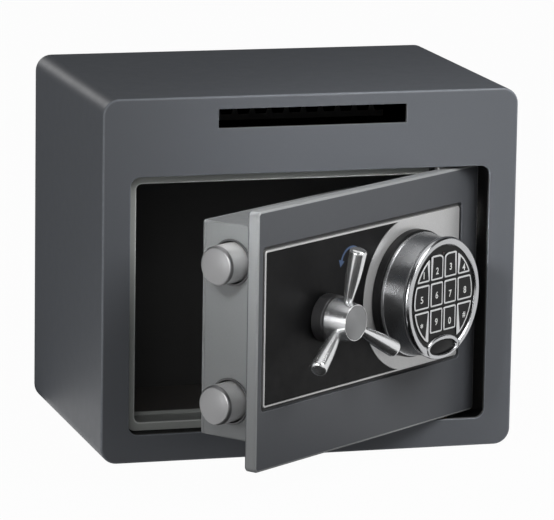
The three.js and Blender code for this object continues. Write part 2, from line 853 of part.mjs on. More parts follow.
place(door, 'door_plate', makeDoorPlate(), doorPaint);
place(door, 'fascia_plate', makeFasciaPlate(), satinSilver);
place(door, 'fascia_panel', makeFasciaPanel(), blackPlastic);
place(door, 'hinge_lug_top', makeLug(lugTopLow), doorPaint);
place(door, 'hinge_lug_bottom', makeLug(lugBottomLow), doorPaint);
const topShoulder = [doorTop + seatGap, topBracketLow - bushFlangeThickness - seatGap];
const bottomFlangeTop = bottomBracketLow + bracketThickness + bushFlangeThickness;
const bottomShoulder = [bottomFlangeTop + seatGap, doorBottom - seatGap];
const pinTop = makePin(lugTopLow, pinTopHigh, ...topShoulder);
const pinBottom = makePin(pinBottomLow, lugBottomLow + lugHeight, ...bottomShoulder);
place(door, 'hinge_pin_top', pinTop, brightSteel);
place(door, 'hinge_pin_bottom', pinBottom, brightSteel);

// Bolt case: a box of folded sheet, open at the plate and closed behind by the cover
const caseLeftX = doorLeft + caseFromFreeEdge;
const caseRightX = pivotX - lugWidth / 2 - caseToLug;
const caseBottom = doorBottom + caseAboveDoorEnd;
const caseTop = doorTop - caseBelowDoorTop;
const caseFrontY = plateBackY + seatGap;
const caseRearY = caseFrontY + caseDepth;
const boltHeights = [caseTop - boltFromCaseEnd, caseBottom + boltFromCaseEnd];
const boltAxisY = caseRearY - boltFromCaseBack;
const collarBore = boltRadius + collarGap;
const collarOuter = collarBore + collarWall;

function makeCase() {
  const w = caseWall;
  let box = block(caseLeftX, caseRightX, caseFrontY, caseRearY, caseBottom, caseTop);
  const across = [caseLeftX + w, caseRightX - w];
  const through = [caseFrontY - overrun, caseRearY + overrun];
  box = box.subtract(block(...across, ...through, caseBottom + w, caseTop - w));
  for (const height of boltHeights) {
    const start = new THREE.Vector3(caseLeftX - overrun, boltAxisY, height);
    const hole = bar(collarOuter + seatGap, caseWall + 2 * overrun, start, rightward, mediumFacets);
    box = box.subtract(hole);
  }
  return box;
}

function makeCover() {
  const y0 = caseRearY + seatGap;
  const outline = roundedRectangle(caseLeftX, caseRightX, caseBottom, caseTop, caseWall);
  return throughDepth(outline, y0, y0 + coverThickness, 0, edgeSteps);
}

// Collar: the ring that lines a bolt hole, with a thin flange outside
function makeCollar(height) {
  const flangeRadius = collarOuter + collarFlange;
  const wallEnd = collarStandOut + seatGap + caseWall + seatGap;
  const profile = [
    [collarBore, 0],
    [flangeRadius, 0],
    [flangeRadius, collarStandOut],
    [collarOuter, collarStandOut],
    [collarOuter, wallEnd],
    [collarBore, wallEnd],
    [collarBore, 0],
  ];
  const start = new THREE.Vector3(caseLeftX - seatGap - collarStandOut, boltAxisY, height);
  return turned(profile, start, rightward, mediumFacets);
}

place(door, 'bolt_case', makeCase(), casePaint);
place(door, 'case_cover', makeCover(), casePaint);
place(door, 'bolt_collar_upper', makeCollar(boltHeights[0]), brightSteel);
place(door, 'bolt_collar_lower', makeCollar(boltHeights[1]), brightSteel);

// Carriage: a channel whose left flange holds the bolts and whose web is slotted for crank and studs
const carriageX0 = doorLeft + carriageLeft;
const carriageX1 = carriageX0 + carriageWidth;
const carriageFrontY = boltAxisY - carriageFlangeDepth / 2;
const carriageRearY = boltAxisY + carriageFlangeDepth / 2;
const webFrontY = carriageRearY - carriageSheet;
const crankRadius = boltThrow / 2 / Math.sin(turn(handleTurnAngle / 2));
const handleX = doorLeft + handleFromFreeEdge;
const crankPinX = handleX + boltThrow / 2;
const crankPinZ = handleHeight - crankRadius * Math.cos(turn(handleTurnAngle / 2));
const studX = carriageX0 + carriageSheet + studFromFlange;
const studHeights = [boltHeights[0] - studInsideBolt, boltHeights[1] + studInsideBolt];

function makeCarriage() {
  const low = boltHeights[1] - carriageBeyondBolt;
  const high = boltHeights[0] + carriageBeyondBolt;
  let channel = block(carriageX0, carriageX1, carriageFrontY, carriageRearY, low, high);
  const inner = [carriageX0 + carriageSheet, carriageX1 - carriageSheet];
  const inside = [...inner, carriageFrontY - overrun, webFrontY];
  channel = channel.subtract(block(...inside, low - overrun, high + overrun));
  const half = crankPinRadius + slotClearance;
  const lowest = handleHeight - crankRadius - half;
  const cutY = [webFrontY - overrun, carriageRearY + overrun];
  const cutX = [crankPinX - half, crankPinX + half];
  channel = channel.subtract(block(...cutX, ...cutY, lowest, crankPinZ + half));
  for (const height of studHeights) {
    channel = channel.subtract(studSlot(height, ...cutY));
  }
  for (const height of boltHeights) {
    const start = new THREE.Vector3(carriageX0 - overrun, boltAxisY, height);
    const length = carriageSheet + 2 * overrun;
    channel = channel.subtract(bar(boltScrewRadius + seatGap, length, start, rightward));
  }
  return channel;
}

// The round-ended slot in which a guide stud runs while the channel travels.
function studSlot(height, y0, y1) {
  const half = studRadius + slotClearance;
  const shape = new THREE.Shape();
  shape.moveTo(studX, height - half);
  shape.lineTo(studX + boltThrow, height - half);
  shape.absarc(studX + boltThrow, height, half, -Math.PI / 2, Math.PI / 2);
  shape.lineTo(studX, height + half);
  shape.absarc(studX, height, half, Math.PI / 2, Math.PI * 1.5);
  return throughDepth(shape, y0, y1);
}

// Live bolt: a bar with a rounded nose, domed as a parabola, and a tapped rear end
function makeBolt(height) {
  const start = caseLeftX - boltShownAtRest;
  const length = carriageX0 - seatGap - start;
  const r = boltRadius;
  const noseSteps = arcPoints(r - boltEndFillet, boltDome + boltEndFillet, boltEndFillet, -90, 0);
  const domeHalfway = [(r - boltEndFillet) / 2, boltDome / 4];
  const profile = [[0, 0], domeHalfway, ...noseSteps, [r, length], [0, length]];
  const origin = new THREE.Vector3(start, boltAxisY, height);
  const body = turned(profile, origin, rightward, mediumFacets);
  const tapStart = new THREE.Vector3(start + length - boltScrewLength, boltAxisY, height);
  return body.subtract(bar(boltScrewRadius + seatGap, boltScrewLength + overrun, tapStart, rightward));
}

// Screw that holds a bolt to the channel's flange
function makeBoltScrew(height) {
  const shank = boltScrewLength - seatGap + carriageSheet;
  const profile = [
    [0, 0],
    [boltScrewRadius, 0],
    [boltScrewRadius, shank],
    [boltScrewHeadRadius, shank],
    [boltScrewHeadRadius, shank + boltScrewHeadHeight],
    [0, shank + boltScrewHeadHeight],
  ];
  const x = carriageX0 + carriageSheet + seatGap - shank;
  return turned(profile, new THREE.Vector3(x, boltAxisY, height), rightward, smallFacets);
}

// Guide stud: a collar from the plate to the web, a neck through the slot and a head behind
function makeStud(height) {
  const collar = webFrontY - seatGap - caseFrontY;
  const neck = collar + seatGap + carriageSheet + seatGap;
  const profile = [
    [0, 0],
    [studCollarRadius, 0],
    [studCollarRadius, collar],
    [studRadius, collar],
    [studRadius, neck],
    [studCollarRadius, neck],
    [studCollarRadius, neck + studHeadHeight],
    [0, neck + studHeadHeight],
  ];
  return turned(profile, new THREE.Vector3(studX, caseFrontY, height), inward, smallFacets);
}

place(door, 'bolt_carriage', makeCarriage(), darkZinc);
place(door, 'bolt_upper', makeBolt(boltHeights[0]), brightSteel);
place(door, 'bolt_lower', makeBolt(boltHeights[1]), brightSteel);
place(door, 'bolt_screw_upper', makeBoltScrew(boltHeights[0]), darkZinc);
place(door, 'bolt_screw_lower', makeBoltScrew(boltHeights[1]), darkZinc);
place(door, 'guide_stud_upper', makeStud(studHeights[0]), brightSteel);
place(door, 'guide_stud_lower', makeStud(studHeights[1]), brightSteel);

// Lock body on its hard plate, with the bolt that slides out behind the channel
const lockX0 = carriageX1 + lockToCarriage;
const lockX1 = dialCentre.x + lockBeyondCable;
const lockLow = dialHeight - lockBodyHeight / 2;
const lockHigh = dialHeight + lockBodyHeight / 2;
const hardPlateY1 = caseFrontY + hardPlateThickness;
const lockFrontY = hardPlateY1 + seatGap;
const lockBoltY0 = lockFrontY + lockBoltSetback;
const lockBoltX0 = lockX0 - lockBoltShown;

function makeHardPlate() {
  const m = hardPlateMargin;
  const plate = block(lockX0 - m, lockX1 + m, caseFrontY, hardPlateY1, lockLow - m, lockHigh + m);
  const start = new THREE.Vector3(dialCentre.x, caseFrontY - overrun, dialCentre.z);
  return plate.subtract(bar(cableHoleRadius, hardPlateThickness + 2 * overrun, start, inward));
}

function makeLockBody() {
  const bodyBlock = block(lockX0, lockX1, lockFrontY, lockFrontY + lockBodyDepth, lockLow, lockHigh);
  const g = runningGap;
  const half = lockBoltWidth / 2 + g;
  const across = [lockBoltY0 - g, lockBoltY0 + lockBoltThickness + g];
  const pocketEnd = lockBoltX0 + lockBoltLength + g;
  const along = [lockX0 - overrun, pocketEnd];
  return bodyBlock.subtract(block(...along, ...across, dialHeight - half, dialHeight + half));
}

function makeLockBolt() {
  const across = [lockBoltY0, lockBoltY0 + lockBoltThickness];
  const half = lockBoltWidth / 2;
  const along = [lockBoltX0, lockBoltX0 + lockBoltLength];
  return block(...along, ...across, dialHeight - half, dialHeight + half);
}

function makeCable() {
  const length = lockFrontY - frontY - 2 * seatGap;
  return bar(cableRadius, length, onDoor(dialFromFreeEdge, dialHeight, -seatGap), inward);
}

place(door, 'hard_plate', makeHardPlate(), darkZinc);
place(door, 'lock_body', makeLockBody(), satinSilver);
place(door, 'lock_bolt', makeLockBolt(), brightSteel);
place(door, 'keypad_cable', makeCable(), blackPlastic);

// Handle: rosette on the fascia, hub with three tapered spokes, spindle and crank
const handleCentre = onDoor(handleFromFreeEdge, handleHeight, 0);
const hubBack = rosetteHeight + seatGap;
const spokeSeatShare = spokeSeatHeight / hubHeight;
const spokeSeatRadius = hubBackRadius - (hubBackRadius - hubFrontRadius) * spokeSeatShare;

function makeRosette() {
  const r = rosetteRadius;
  const bore = spindleRadius + runningGap;
  const rim = arcPoints(r - rosetteFillet, rosetteHeight - rosetteFillet, rosetteFillet, 0, 90);
  const profile = [[bore, 0], [r, 0], ...rim, [bore, rosetteHeight], [bore, 0]];
  return turned(profile, handleCentre, outward, mediumFacets);
}

function makeHub() {
  const r = hubFrontRadius;
  const rim = arcPoints(r - hubFillet, hubHeight - hubFillet, hubFillet, 0, 90);
  const pocket = hubHeight - capPocketDepth;
  const capBore = capRadius + seatGap;
  const front = [[capBore, hubHeight], [capBore, pocket], [0, pocket]];
  const profile = [[0, 0], [hubBackRadius, 0], ...rim, ...front];
  const seat = handleCentre.clone().addScaledVector(outward, hubBack);
  let hub = turned(profile, seat, outward, mediumFacets);
  const boreStart = handleCentre.clone().addScaledVector(outward, hubBack - overrun);
  hub = hub.subtract(bar(spindleRadius + seatGap, spindleInHub + overrun, boreStart, outward));
  for (let i = 0; i < spokeCount; i += 1) {
    const { start, direction } = spokeAxis(i, seatGap);
    hub = hub.subtract(bar(spokeRootRadius + seatGap, hubBackRadius, start, direction));
  }
  return hub;
}

// Where a spoke starts inside the hub, and which way it leans; extra draws the start further in.
function spokeAxis(i, extra) {
  const around = turn(90 + (360 * i) / spokeCount);
  const lean = turn(spokeConeAngle);
  const radial = new THREE.Vector3(Math.cos(around), 0, Math.sin(around));
  const direction = radial.clone().multiplyScalar(Math.cos(lean));
  direction.addScaledVector(outward, Math.sin(lean));
  const start = handleCentre.clone().addScaledVector(outward, hubBack + spokeSeatHeight);
  start.addScaledVector(radial, spokeSeatRadius).addScaledVector(direction, -spokeSeatDepth - extra);
  return { start, direction };
}

// Spoke: a neck that widens from its root to a long grip with a rounded end
function makeSpoke(i) {
  const { start, direction } = spokeAxis(i, 0);
  const shown = (spokeTipReach - spokeSeatRadius) / Math.cos(turn(spokeConeAngle));
  const length = spokeSeatDepth + shown;
  const profile = [[0, 0], [spokeRootRadius, 0], [spokeRootRadius, spokeSeatDepth]];
  profile.push([spokeGripRadius, spokeSeatDepth + spokeNeckLength]);
  const shoulder = length - spokeTipFillet;
  const tip = arcPoints(spokeTipRadius - spokeTipFillet, shoulder, spokeTipFillet, 0, 90);
  profile.push(...tip, [0, length]);
  return turned(profile, start, direction, smallFacets);
}

// Cap: a shallow dome set in the hub's front
function makeCap() {
  const back = hubHeight - capPocketDepth + seatGap;
  const edge = hubHeight;
  const profile = [[0, back], [capRadius, back], [capRadius, edge]];
  for (let step = 1; step <= cornerSteps; step += 1) {
    const share = step / cornerSteps;
    profile.push([capRadius * (1 - share), edge + capDome * share * (2 - share)]);
  }
  return turned(profile, handleCentre.clone().addScaledVector(outward, hubBack), outward, mediumFacets);
}

const crankRearY = carriageFrontY - crankToCarriage;
const crankFrontY = crankRearY - crankThickness;

function makeSpindle() {
  const length = hubBack + spindleInHub - seatGap + crankRearY + spindleBeyondCrank - frontY;
  const start = handleCentre.clone().addScaledVector(outward, hubBack + spindleInHub - seatGap);
  return bar(spindleRadius, length, start, inward);
}

// Crank: an eye on the spindle, a tapering web and the pin that drives the channel
function makeCrank() {
  const eye = new THREE.Vector3(crankPinX, crankFrontY, crankPinZ);
  const hub = new THREE.Vector3(handleX, crankFrontY, handleHeight);
  const along = Math.atan2(eye.z - hub.z, eye.x - hub.x);
  const spread = Math.acos((crankHubRadius - crankEyeRadius) / crankRadius);
  const shape = new THREE.Shape();
  shape.absarc(hub.x, hub.z, crankHubRadius, along + spread, along - spread + 2 * Math.PI);
  shape.absarc(eye.x, eye.z, crankEyeRadius, along - spread, along + spread);
  let crank = throughDepth(shape, crankFrontY, crankRearY, 0, crankSteps);
  const boreStart = new THREE.Vector3(hub.x, crankFrontY - overrun, hub.z);
  crank = crank.subtract(bar(spindleRadius + seatGap, crankThickness + 2 * overrun, boreStart, inward));
  const pinStart = new THREE.Vector3(eye.x, crankFrontY + crankThickness / 2, eye.z);
  const pinLength = carriageRearY + seatGap + crankPinRadius / 2 - pinStart.y;
  return crank.add(bar(crankPinRadius, pinLength, pinStart, inward));
}

place(door, 'handle_rosette', makeRosette(), blackPlastic);
place(door, 'handle_hub', makeHub(), mirrorChrome);
place(door, 'handle_cap', makeCap(), satinSilver);
['spoke_top', 'spoke_left', 'spoke_right'].forEach((name, i) => {
  place(door, name, makeSpoke(i), mirrorChrome);
});
place(door, 'handle_spindle', makeSpindle(), brightSteel);
place(door, 'handle_crank', makeCrank(), darkZinc);

// Lock dial: base, housing whose rolled rim ends at the pocket's wall, and the face plate
function makeDialBase() {
  const r = dialBaseRadius;
  const rim = arcPoints(r - dialBaseFillet, dialBaseHeight - dialBaseFillet, dialBaseFillet, 0, 90);
  const profile = [[0, 0], [r, 0], ...rim, [0, dialBaseHeight]];
  return turned(profile, dialCentre, outward, largeFacets);
}

// An upright oval, seen from the front, about the badge's centre.
function badgeOval(grow, out0, out1) {
  const shape = new THREE.Shape();
  const z = dialCentre.z - badgeDrop;
  shape.absellipse(dialCentre.x, z, badgeHalfWidth + grow, badgeHalfHeight + grow, 0, Math.PI * 2);
  return throughDepth(shape, frontY - out1, frontY - out0, 0, ovalSteps);
}

function makeHousing() {
  const back = dialBaseHeight + seatGap;
  const lipEnd = back + dialLipHeight;
  const barrelBack = dialBarrelRadius + dialBarrelFlare;
  const floor = dialPocketFloor;
  const wall = dialFaceRadius + seatGap;
  const rimEnd = THREE.MathUtils.radToDeg(Math.acos(Math.max((wall - dialRimRadius) / dialRimTube, -1)));
  const rim = arcPoints(dialRimRadius, dialRimHeight, dialRimTube, rimStartAngle, rimEnd, rimSteps);
  const profile = [
    [0, back],
    [dialLipRadius, back],
    [dialLipRadius, lipEnd],
    [barrelBack, lipEnd + (dialLipRadius - barrelBack) / 2],
    [dialBarrelRadius, lipEnd + dialBarrelHeight],
    ...rim,
    [wall, rim.at(-1)[1]],
    [wall, floor],
    [0, floor],
  ];
  const body = turned(profile, dialCentre, outward, largeFacets);
  const top = floor + badgeRimHeight;
  let rimRing = badgeOval(badgeRimWidth, floor - overrun, top);
  rimRing = rimRing.subtract(badgeOval(0, floor, top + overrun));
  const within = bar(dialRimRadius, top + overrun, dialCentre, outward, largeFacets);
  const cavityRadius = dialBarrelRadius - dialHousingWall;
  const cavityStart = dialCentre.clone().addScaledVector(outward, back - overrun);
  const cavityLength = floor - dialFloorWall - back + overrun;
  const cavity = bar(cavityRadius, cavityLength, cavityStart, outward, mediumFacets);
  const shaped = body.add(rimRing.intersect(within)).subtract(badgeOval(0, floor, top + overrun));
  return shaped.subtract(cavity);
}

// Battery: a flat block that stands on the base inside the housing
function makeBattery() {
  const x0 = dialCentre.x - batteryWidth / 2;
  const z1 = dialCentre.z - batteryDrop + batteryHeight / 2;
  const y1 = frontY - dialBaseHeight - seatGap;
  const y0 = frontY - dialPocketFloor + dialFloorWall + batteryRoom;
  return block(x0, x0 + batteryWidth, y0, y1, z1 - batteryHeight, z1);
}

// The dial's keys stand in four columns and three rows, trimmed by the round edge of the face,
// the oval below and the small light above.
const keyRows = [
  { low: keyMiddleRowCentre + keyRowHeight / 2 + keyRowGap, height: keyTopRowHeight },
  { low: keyMiddleRowCentre - keyRowHeight / 2, height: keyRowHeight },
  { low: keyMiddleRowCentre - keyRowHeight / 2 - keyRowGap - keyRowHeight, height: keyRowHeight },
];
const keyNames = ['1', '2', '3', '4', '5', '6', '7', '8', 'star', '9', '0', 'hash'];

// A key's outline about the dial's centre; grow widens it for its pocket.
function keyOutline(row, column, grow) {
  const side = column < keyColumns / 2 ? -1 : 1;
  const outer = column === 0 || column === keyColumns - 1;
  const innerEdge = keyColumnGap / 2 + (outer ? keyInnerWidth + keyColumnGap : 0) - grow;
  const field = keyFieldRadius + grow;
  const outerEdge = outer ? field : keyColumnGap / 2 + keyInnerWidth + grow;
  const { low, height } = keyRows[row];
  const bottom = (outer && row === 2 ? -keyFieldRadius : low) - grow;
  const top = low + height + grow;
  const ovalHalf = badgeHalfWidth + badgeRimWidth + badgeKeyRoom - grow;
  const ovalHigh = badgeHalfHeight + badgeRimWidth + badgeKeyRoom - grow;
  const circle = (x) => Math.sqrt(Math.max(field * field - x * x, 0));
  const oval = (x) => ovalHigh * Math.sqrt(Math.max(1 - (x / ovalHalf) ** 2, 0)) - badgeDrop;
  const slopeStart = lightHeight - keyLightRoom + grow * Math.hypot(1, keyLightSlope);
  const slope = (x) => slopeStart + keyLightSlope * x;
  const highAt = (x) => Math.min(top, circle(x), slope(x));
  const lowAt = (x) => Math.max(bottom, -circle(x), oval(x));
  const reach = outer ? keyEndOfRow(highAt, lowAt, innerEdge, outerEdge) : outerEdge;
  const edge = (line, i) => {
    const share = Math.sin((Math.PI / 2) * (i / keyOutlineSteps));
    const x = innerEdge + (reach - innerEdge) * share;
    return [side * x, line(x)];
  };
  const points = [];
  for (let i = 0; i <= keyOutlineSteps; i += 1) points.push(edge(lowAt, i));
  for (let i = keyOutlineSteps; i >= 0; i -= 1) points.push(edge(highAt, i));
  return softOutline(tidied(points), keyCornerFillet);
}

// How far out a key runs before the face's edge closes it, found by halving.
function keyEndOfRow(highAt, lowAt, near, far) {
  let inside = near;
  let outside = far;
  for (let i = 0; i < keySearchSteps; i += 1) {
    const middle = (inside + outside) / 2;
    if (highAt(middle) - lowAt(middle) > keyCornerFillet) inside = middle;
    else outside = middle;
  }
  return inside;
}

// The points of an outline without those that lie on a straight run or on each other.
function tidied(points) {
  const apart = points.filter(([x, z], i) => {
    const [px, pz] = points[(i + points.length - 1) % points.length];
    return Math.hypot(x - px, z - pz) > outlineTolerance;
  });
  return apart.filter(([x, z], i) => {
    const [px, pz] = apart[(i + apart.length - 1) % apart.length];
    const [nx, nz] = apart[(i + 1) % apart.length];
    const turnArea = (x - px) * (nz - z) - (z - pz) * (nx - x);
    return Math.abs(turnArea) > straightTolerance;
  });
}

function keySolid(row, column, grow, out0, out1) {
  const outline = keyOutline(row, column, grow);
  const key = throughDepth(outline, frontY - out1, frontY - out0, 0, edgeSteps);
  return key.translate(dialCentre.x, 0, dialCentre.z);
}

const faceBack = dialPocketFloor + seatGap;
const faceFront = faceBack + dialFaceThickness;

function makeDialFace() {
  const start = onDoor(dialFromFreeEdge, dialHeight, faceBack);
  let face = bar(dialFaceRadius, dialFaceThickness, start, outward, largeFacets);
  for (let row = 0; row < keyRows.length; row += 1) {
    for (let column = 0; column < keyColumns; column += 1) {
      face = face.subtract(keySolid(row, column, keySideGap, faceBack - overrun, faceFront + overrun));
    }
  }
  face = face.subtract(badgeOval(badgeRimWidth + seatGap, faceBack - overrun, faceFront + overrun));
  const lightStart = onDoor(dialFromFreeEdge, dialHeight + lightHeight, faceBack - overrun);
  const lightDepth = dialFaceThickness + 2 * overrun;
  return face.subtract(bar(lightRadius + seatGap, lightDepth, lightStart, outward));
}

function makeLight() {
  const start = onDoor(dialFromFreeEdge, dialHeight + lightHeight, faceBack);
  return bar(lightRadius, dialFaceThickness + lightProud, start, outward);
}

place(door, 'keypad_base', makeDialBase(), blackPlastic);
place(door, 'keypad_housing', makeHousing(), mirrorChrome);
place(door, 'keypad_battery', makeBattery(), darkZinc);
place(door, 'keypad_face', makeDialFace(), keyPlastic);
place(door, 'keypad_badge', badgeOval(-seatGap, faceBack, faceBack + badgeThickness), blackPlastic);
place(door, 'status_light', makeLight(), lampRed);

const keyBack = dialPocketFloor + keyTravel + keyFloorRoom;
keyNames.forEach((name, i) => {
  const row = Math.floor(i / keyColumns);
  const key = keySolid(row, i % keyColumns, 0, keyBack, faceFront + keyProud);
  place(door, `key_${name}`, key, keyPlastic);
});

export default safe;
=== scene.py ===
"""The finished look of a small drop safe: a painted steel cabinet with a letter slot, and a door
that carries a bolt case, a three-spoke handle and a round push-button dial.

Shapes are worked out in millimetres on one side of the safe, as (right, up, out), and are placed
in metres by that side. The first number runs to the right, the second upwards and the third out
of the safe.
"""

import json
import math

import bmesh
import bpy
import numpy as np
from mathutils import Matrix, Vector
from mathutils.geometry import tessellate_polygon


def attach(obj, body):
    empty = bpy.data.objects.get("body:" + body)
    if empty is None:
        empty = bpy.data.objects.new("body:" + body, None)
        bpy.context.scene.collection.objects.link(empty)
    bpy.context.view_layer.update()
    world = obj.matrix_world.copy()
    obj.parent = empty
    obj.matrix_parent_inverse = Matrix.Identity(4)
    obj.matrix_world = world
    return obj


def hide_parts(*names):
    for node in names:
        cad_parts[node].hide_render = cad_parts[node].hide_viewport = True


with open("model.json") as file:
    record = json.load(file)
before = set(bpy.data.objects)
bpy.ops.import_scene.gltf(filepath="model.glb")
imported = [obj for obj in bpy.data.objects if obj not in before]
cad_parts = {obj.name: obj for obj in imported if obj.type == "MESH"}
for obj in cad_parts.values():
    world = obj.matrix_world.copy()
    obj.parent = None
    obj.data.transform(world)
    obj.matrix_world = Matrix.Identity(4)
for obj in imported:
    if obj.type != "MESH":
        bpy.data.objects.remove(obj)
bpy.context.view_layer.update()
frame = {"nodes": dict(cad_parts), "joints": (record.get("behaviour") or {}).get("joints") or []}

MM = 0.001
MERGE_DISTANCE = 0.002 * MM

# Cabinet, in millimetres
CABINET_CORNER = 11.5
CABINET_EDGE = 1.6
SHELL_WALL = 2.5
FRONT_WALL = 3.0
BACK_GAP = 0.2
BACK_EDGE = 0.4
ANCHOR_RADIUS = 6.0
FLOOR_ANCHORS = [(x, out) for x in (-100, 100) for out in (-65, 65)]
BACK_ANCHORS = [(-90, 190), (90, 190)]
OPENING_LOW = (-130, 20)
OPENING_HIGH = (130, 202)
OPENING_CORNER = 6.5
OPENING_BREAK = 0.8
SLOT_LOW = (-68, 234.5)
SLOT_HIGH = (68, 248)
SLOT_CORNER = 0.6
SLOT_BREAK = 0.35
JAMB_SHEET = 2.0
JAMB_FLANGE = 6.5
JAMB_FACE = 94.7
JAMB_END = 88.45
JAMB_INNER_CORNER = 4.0
JAMB_NOSE = 0.8
SILL_DEPTH = 22.0
SILL_LIP = 2.3
SILL_NOSE = 1.1

# Hinge, in millimetres
BUSH_BORE = 4.35
BUSH_OUTER = 6.55
BUSH_FLANGE = 1.0
PIN_RADIUS = 4.0
PIN_END = 0.6
TOP_SHOULDER = (34.3, 36.5)
BOTTOM_SHOULDER = (7.9, 11.0)

# Door, in millimetres from its free edge, from the base and from its front face
DOOR_THICKNESS = 9.3
DOOR_CORNER = 3.5
DOOR_EDGE = 1.6
RECESS_LEFT = 6.0
RECESS_RIGHT = 19.7
RECESS_TOP = 25.0
RECESS_HEIGHT = 112.4
RECESS_DEPTH = 3.0
RECESS_CORNER = 3.0
RECESS_BREAK = 0.5
FASCIA_GROOVE = 2.4
FASCIA_CORNER = 2.0
FASCIA_EDGE = 0.45
FASCIA_BACK = -2.7
FASCIA_FACE = -0.3
FASCIA_BORDER = 1.4
POCKET_FLOOR = -1.7
PANEL_BACK = -1.4
PANEL_FACE = -0.4
PANEL_EDGE = 0.3
PANEL_CORNER = 1.2
SILVER_ARC = 54.3
SEAT = 0.3
SPINDLE_HOLE = 5.35
CABLE_HOLE = 4.0

# The turning arrow on the black panel: its arc's middle, radius, half width and ends in degrees
ARROW_MIDDLE = (104.4, 150.4)
ARROW_RADIUS = 11.4
ARROW_HALF = 0.8
ARROW_ENDS = (40, 163)
ARROW_HEAD = (4.7, 3.3)
INK_DEPTH = 0.05

# Bolt case, bolts and collars
CASE_WALL = 2.0
CASE_CORNER = 2.0
CASE_INNER_CORNER = 0.4
COVER_EDGE = 0.6
SCREW_INSET = 7.0
SCREW_HEAD = (3.1, 1.9)
SCREW_SOCKET = (1.5, 1.3)
COLLAR_BORE = 14.8
COLLAR_OUTER = 15.6
COLLAR_FLANGE = 16.2
COLLAR_STAND = 0.9
BOLT_RADIUS = 13.7
BOLT_EDGE = 2.6
BOLT_DOME = 1.6
BOLT_TAP = (3.3, 16.0)

# Handle
ROSETTE = (16.8, 9.0)
ROSETTE_EDGE = 1.0
HUB_BACK = 15.6
HUB_FRONT = 12.5
HUB_BORE = (5.3, 11.0)
CAP_POCKET = (12.0, 1.0)
CAP_RADIUS = 11.7
CAP_DOME = 1.4
SPOKE_START = 18.6
SPOKE_RADIUS = 13.853
SPOKE_REACH = 51.0
SPOKE_LEAN = 12.6
SPOKE_SEAT = 4.5
SPOKE_ROOT = 3.0
SPOKE_NECK = 18.6
SPOKE_GRIP = 5.6
SPOKE_TIP = 6.1
SPOKE_NOSE = 2.6
SPOKE_EASE = 14.0

# Dial
DIAL_BASE = (44.8, 6.0)
DIAL_BASE_EDGE = 0.8
DIAL_FOOT = 6.3
DIAL_LIP = (43.6, 8.3)
DIAL_BARREL = ((43.0, 8.6), (41.2, 23.4))
DIAL_RIM = (39.9, 26.6)
DIAL_RIM_TUBE = 3.0
DIAL_RIM_ENDS = (-55, 154.16)
DIAL_POCKET = (37.2, 25.4)
DIAL_CAVITY = (38.7, 23.2)
DIAL_FACE = 36.9
BADGE_DROP = 34.6
BADGE_HALF = np.array([15.5, 5.13])
BADGE_DOME = 1.1
BADGE_EDGE = 0.3
BADGE_RING = (3.4, 4.2)
KEY_EDGE = 0.25
KEY_BAND = 0.95
KEY_GAP = 0.35
LIGHT_RADIUS = 1.1
LIGHT_HOLE = 1.4
LIGHT_DOME = 0.6
SIGN_HEIGHT = 4.9
SIGN_BOLD = 0.018

# Fineness of the turned and rounded shapes
TURNS = 112
CORNER_STEPS = 8
EDGE_STEPS = 5


def corners_of(mesh):
    """All corners of a mesh, as rows of three."""
    flat = np.empty(len(mesh.vertices) * 3, np.float32)
    mesh.vertices.foreach_get("co", flat)
    return flat.reshape(-1, 3).astype(float)


class Side:
    """A side of the safe, on which a point is (right, up, out) in millimetres."""

    def __init__(self, right, out, origin=(0, 0, 0)):
        self.axes = np.array([right, (0, 0, 1), out], float)
        self.origin = np.array(origin, float)

    def place(self, points):
        """Right, up and out times the side's three axes, plus its origin, in metres."""
        return np.asarray(points, float) @ self.axes * MM + self.origin

    def points(self, node):
        """A CAD node's corners as seen on this side."""
        return (corners_of(frame["nodes"][node].data) - self.origin) @ self.axes.T / MM

    def span(self, node):
        """A CAD node's lowest right, up and out, its middle, and its highest right, up and out."""
        corners = self.points(node)
        low, high = corners.min(0), corners.max(0)
        return low, (low + high) / 2, high

    def middle(self, node):
        """The right and up of a node's middle."""
        return self.span(node)[1][:2]


def joint_axis(name):
    """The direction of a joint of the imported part, from its record."""
    joint = next(j for j in frame["joints"] if j["name"] == name)
    return np.array(joint["axis"], float)


CABINET = Side((1, 0, 0), (0, -1, 0))
door_right = -joint_axis("bolt_throw")
door_out = -joint_axis("handle_turn")
plate_low, _, plate_high = Side(door_right, door_out).span("door_plate")
door_origin = (plate_low[0] * door_right + plate_high[2] * door_out) * MM
DOOR = Side(door_right, door_out, door_origin)

(_, DOOR_BOTTOM, _), _, (DOOR_WIDTH, DOOR_TOP, _) = DOOR.span("door_plate")
RECESS_LOW = (RECESS_LEFT, DOOR_TOP - RECESS_TOP - RECESS_HEIGHT)
RECESS_HIGH = (DOOR_WIDTH - RECESS_RIGHT, DOOR_TOP - RECESS_TOP)
HANDLE = DOOR.middle("handle_rosette")
DIAL = DOOR.middle("keypad_base")
BADGE = np.array([DIAL[0], DIAL[1] - BADGE_DROP])


# Outlines and profiles


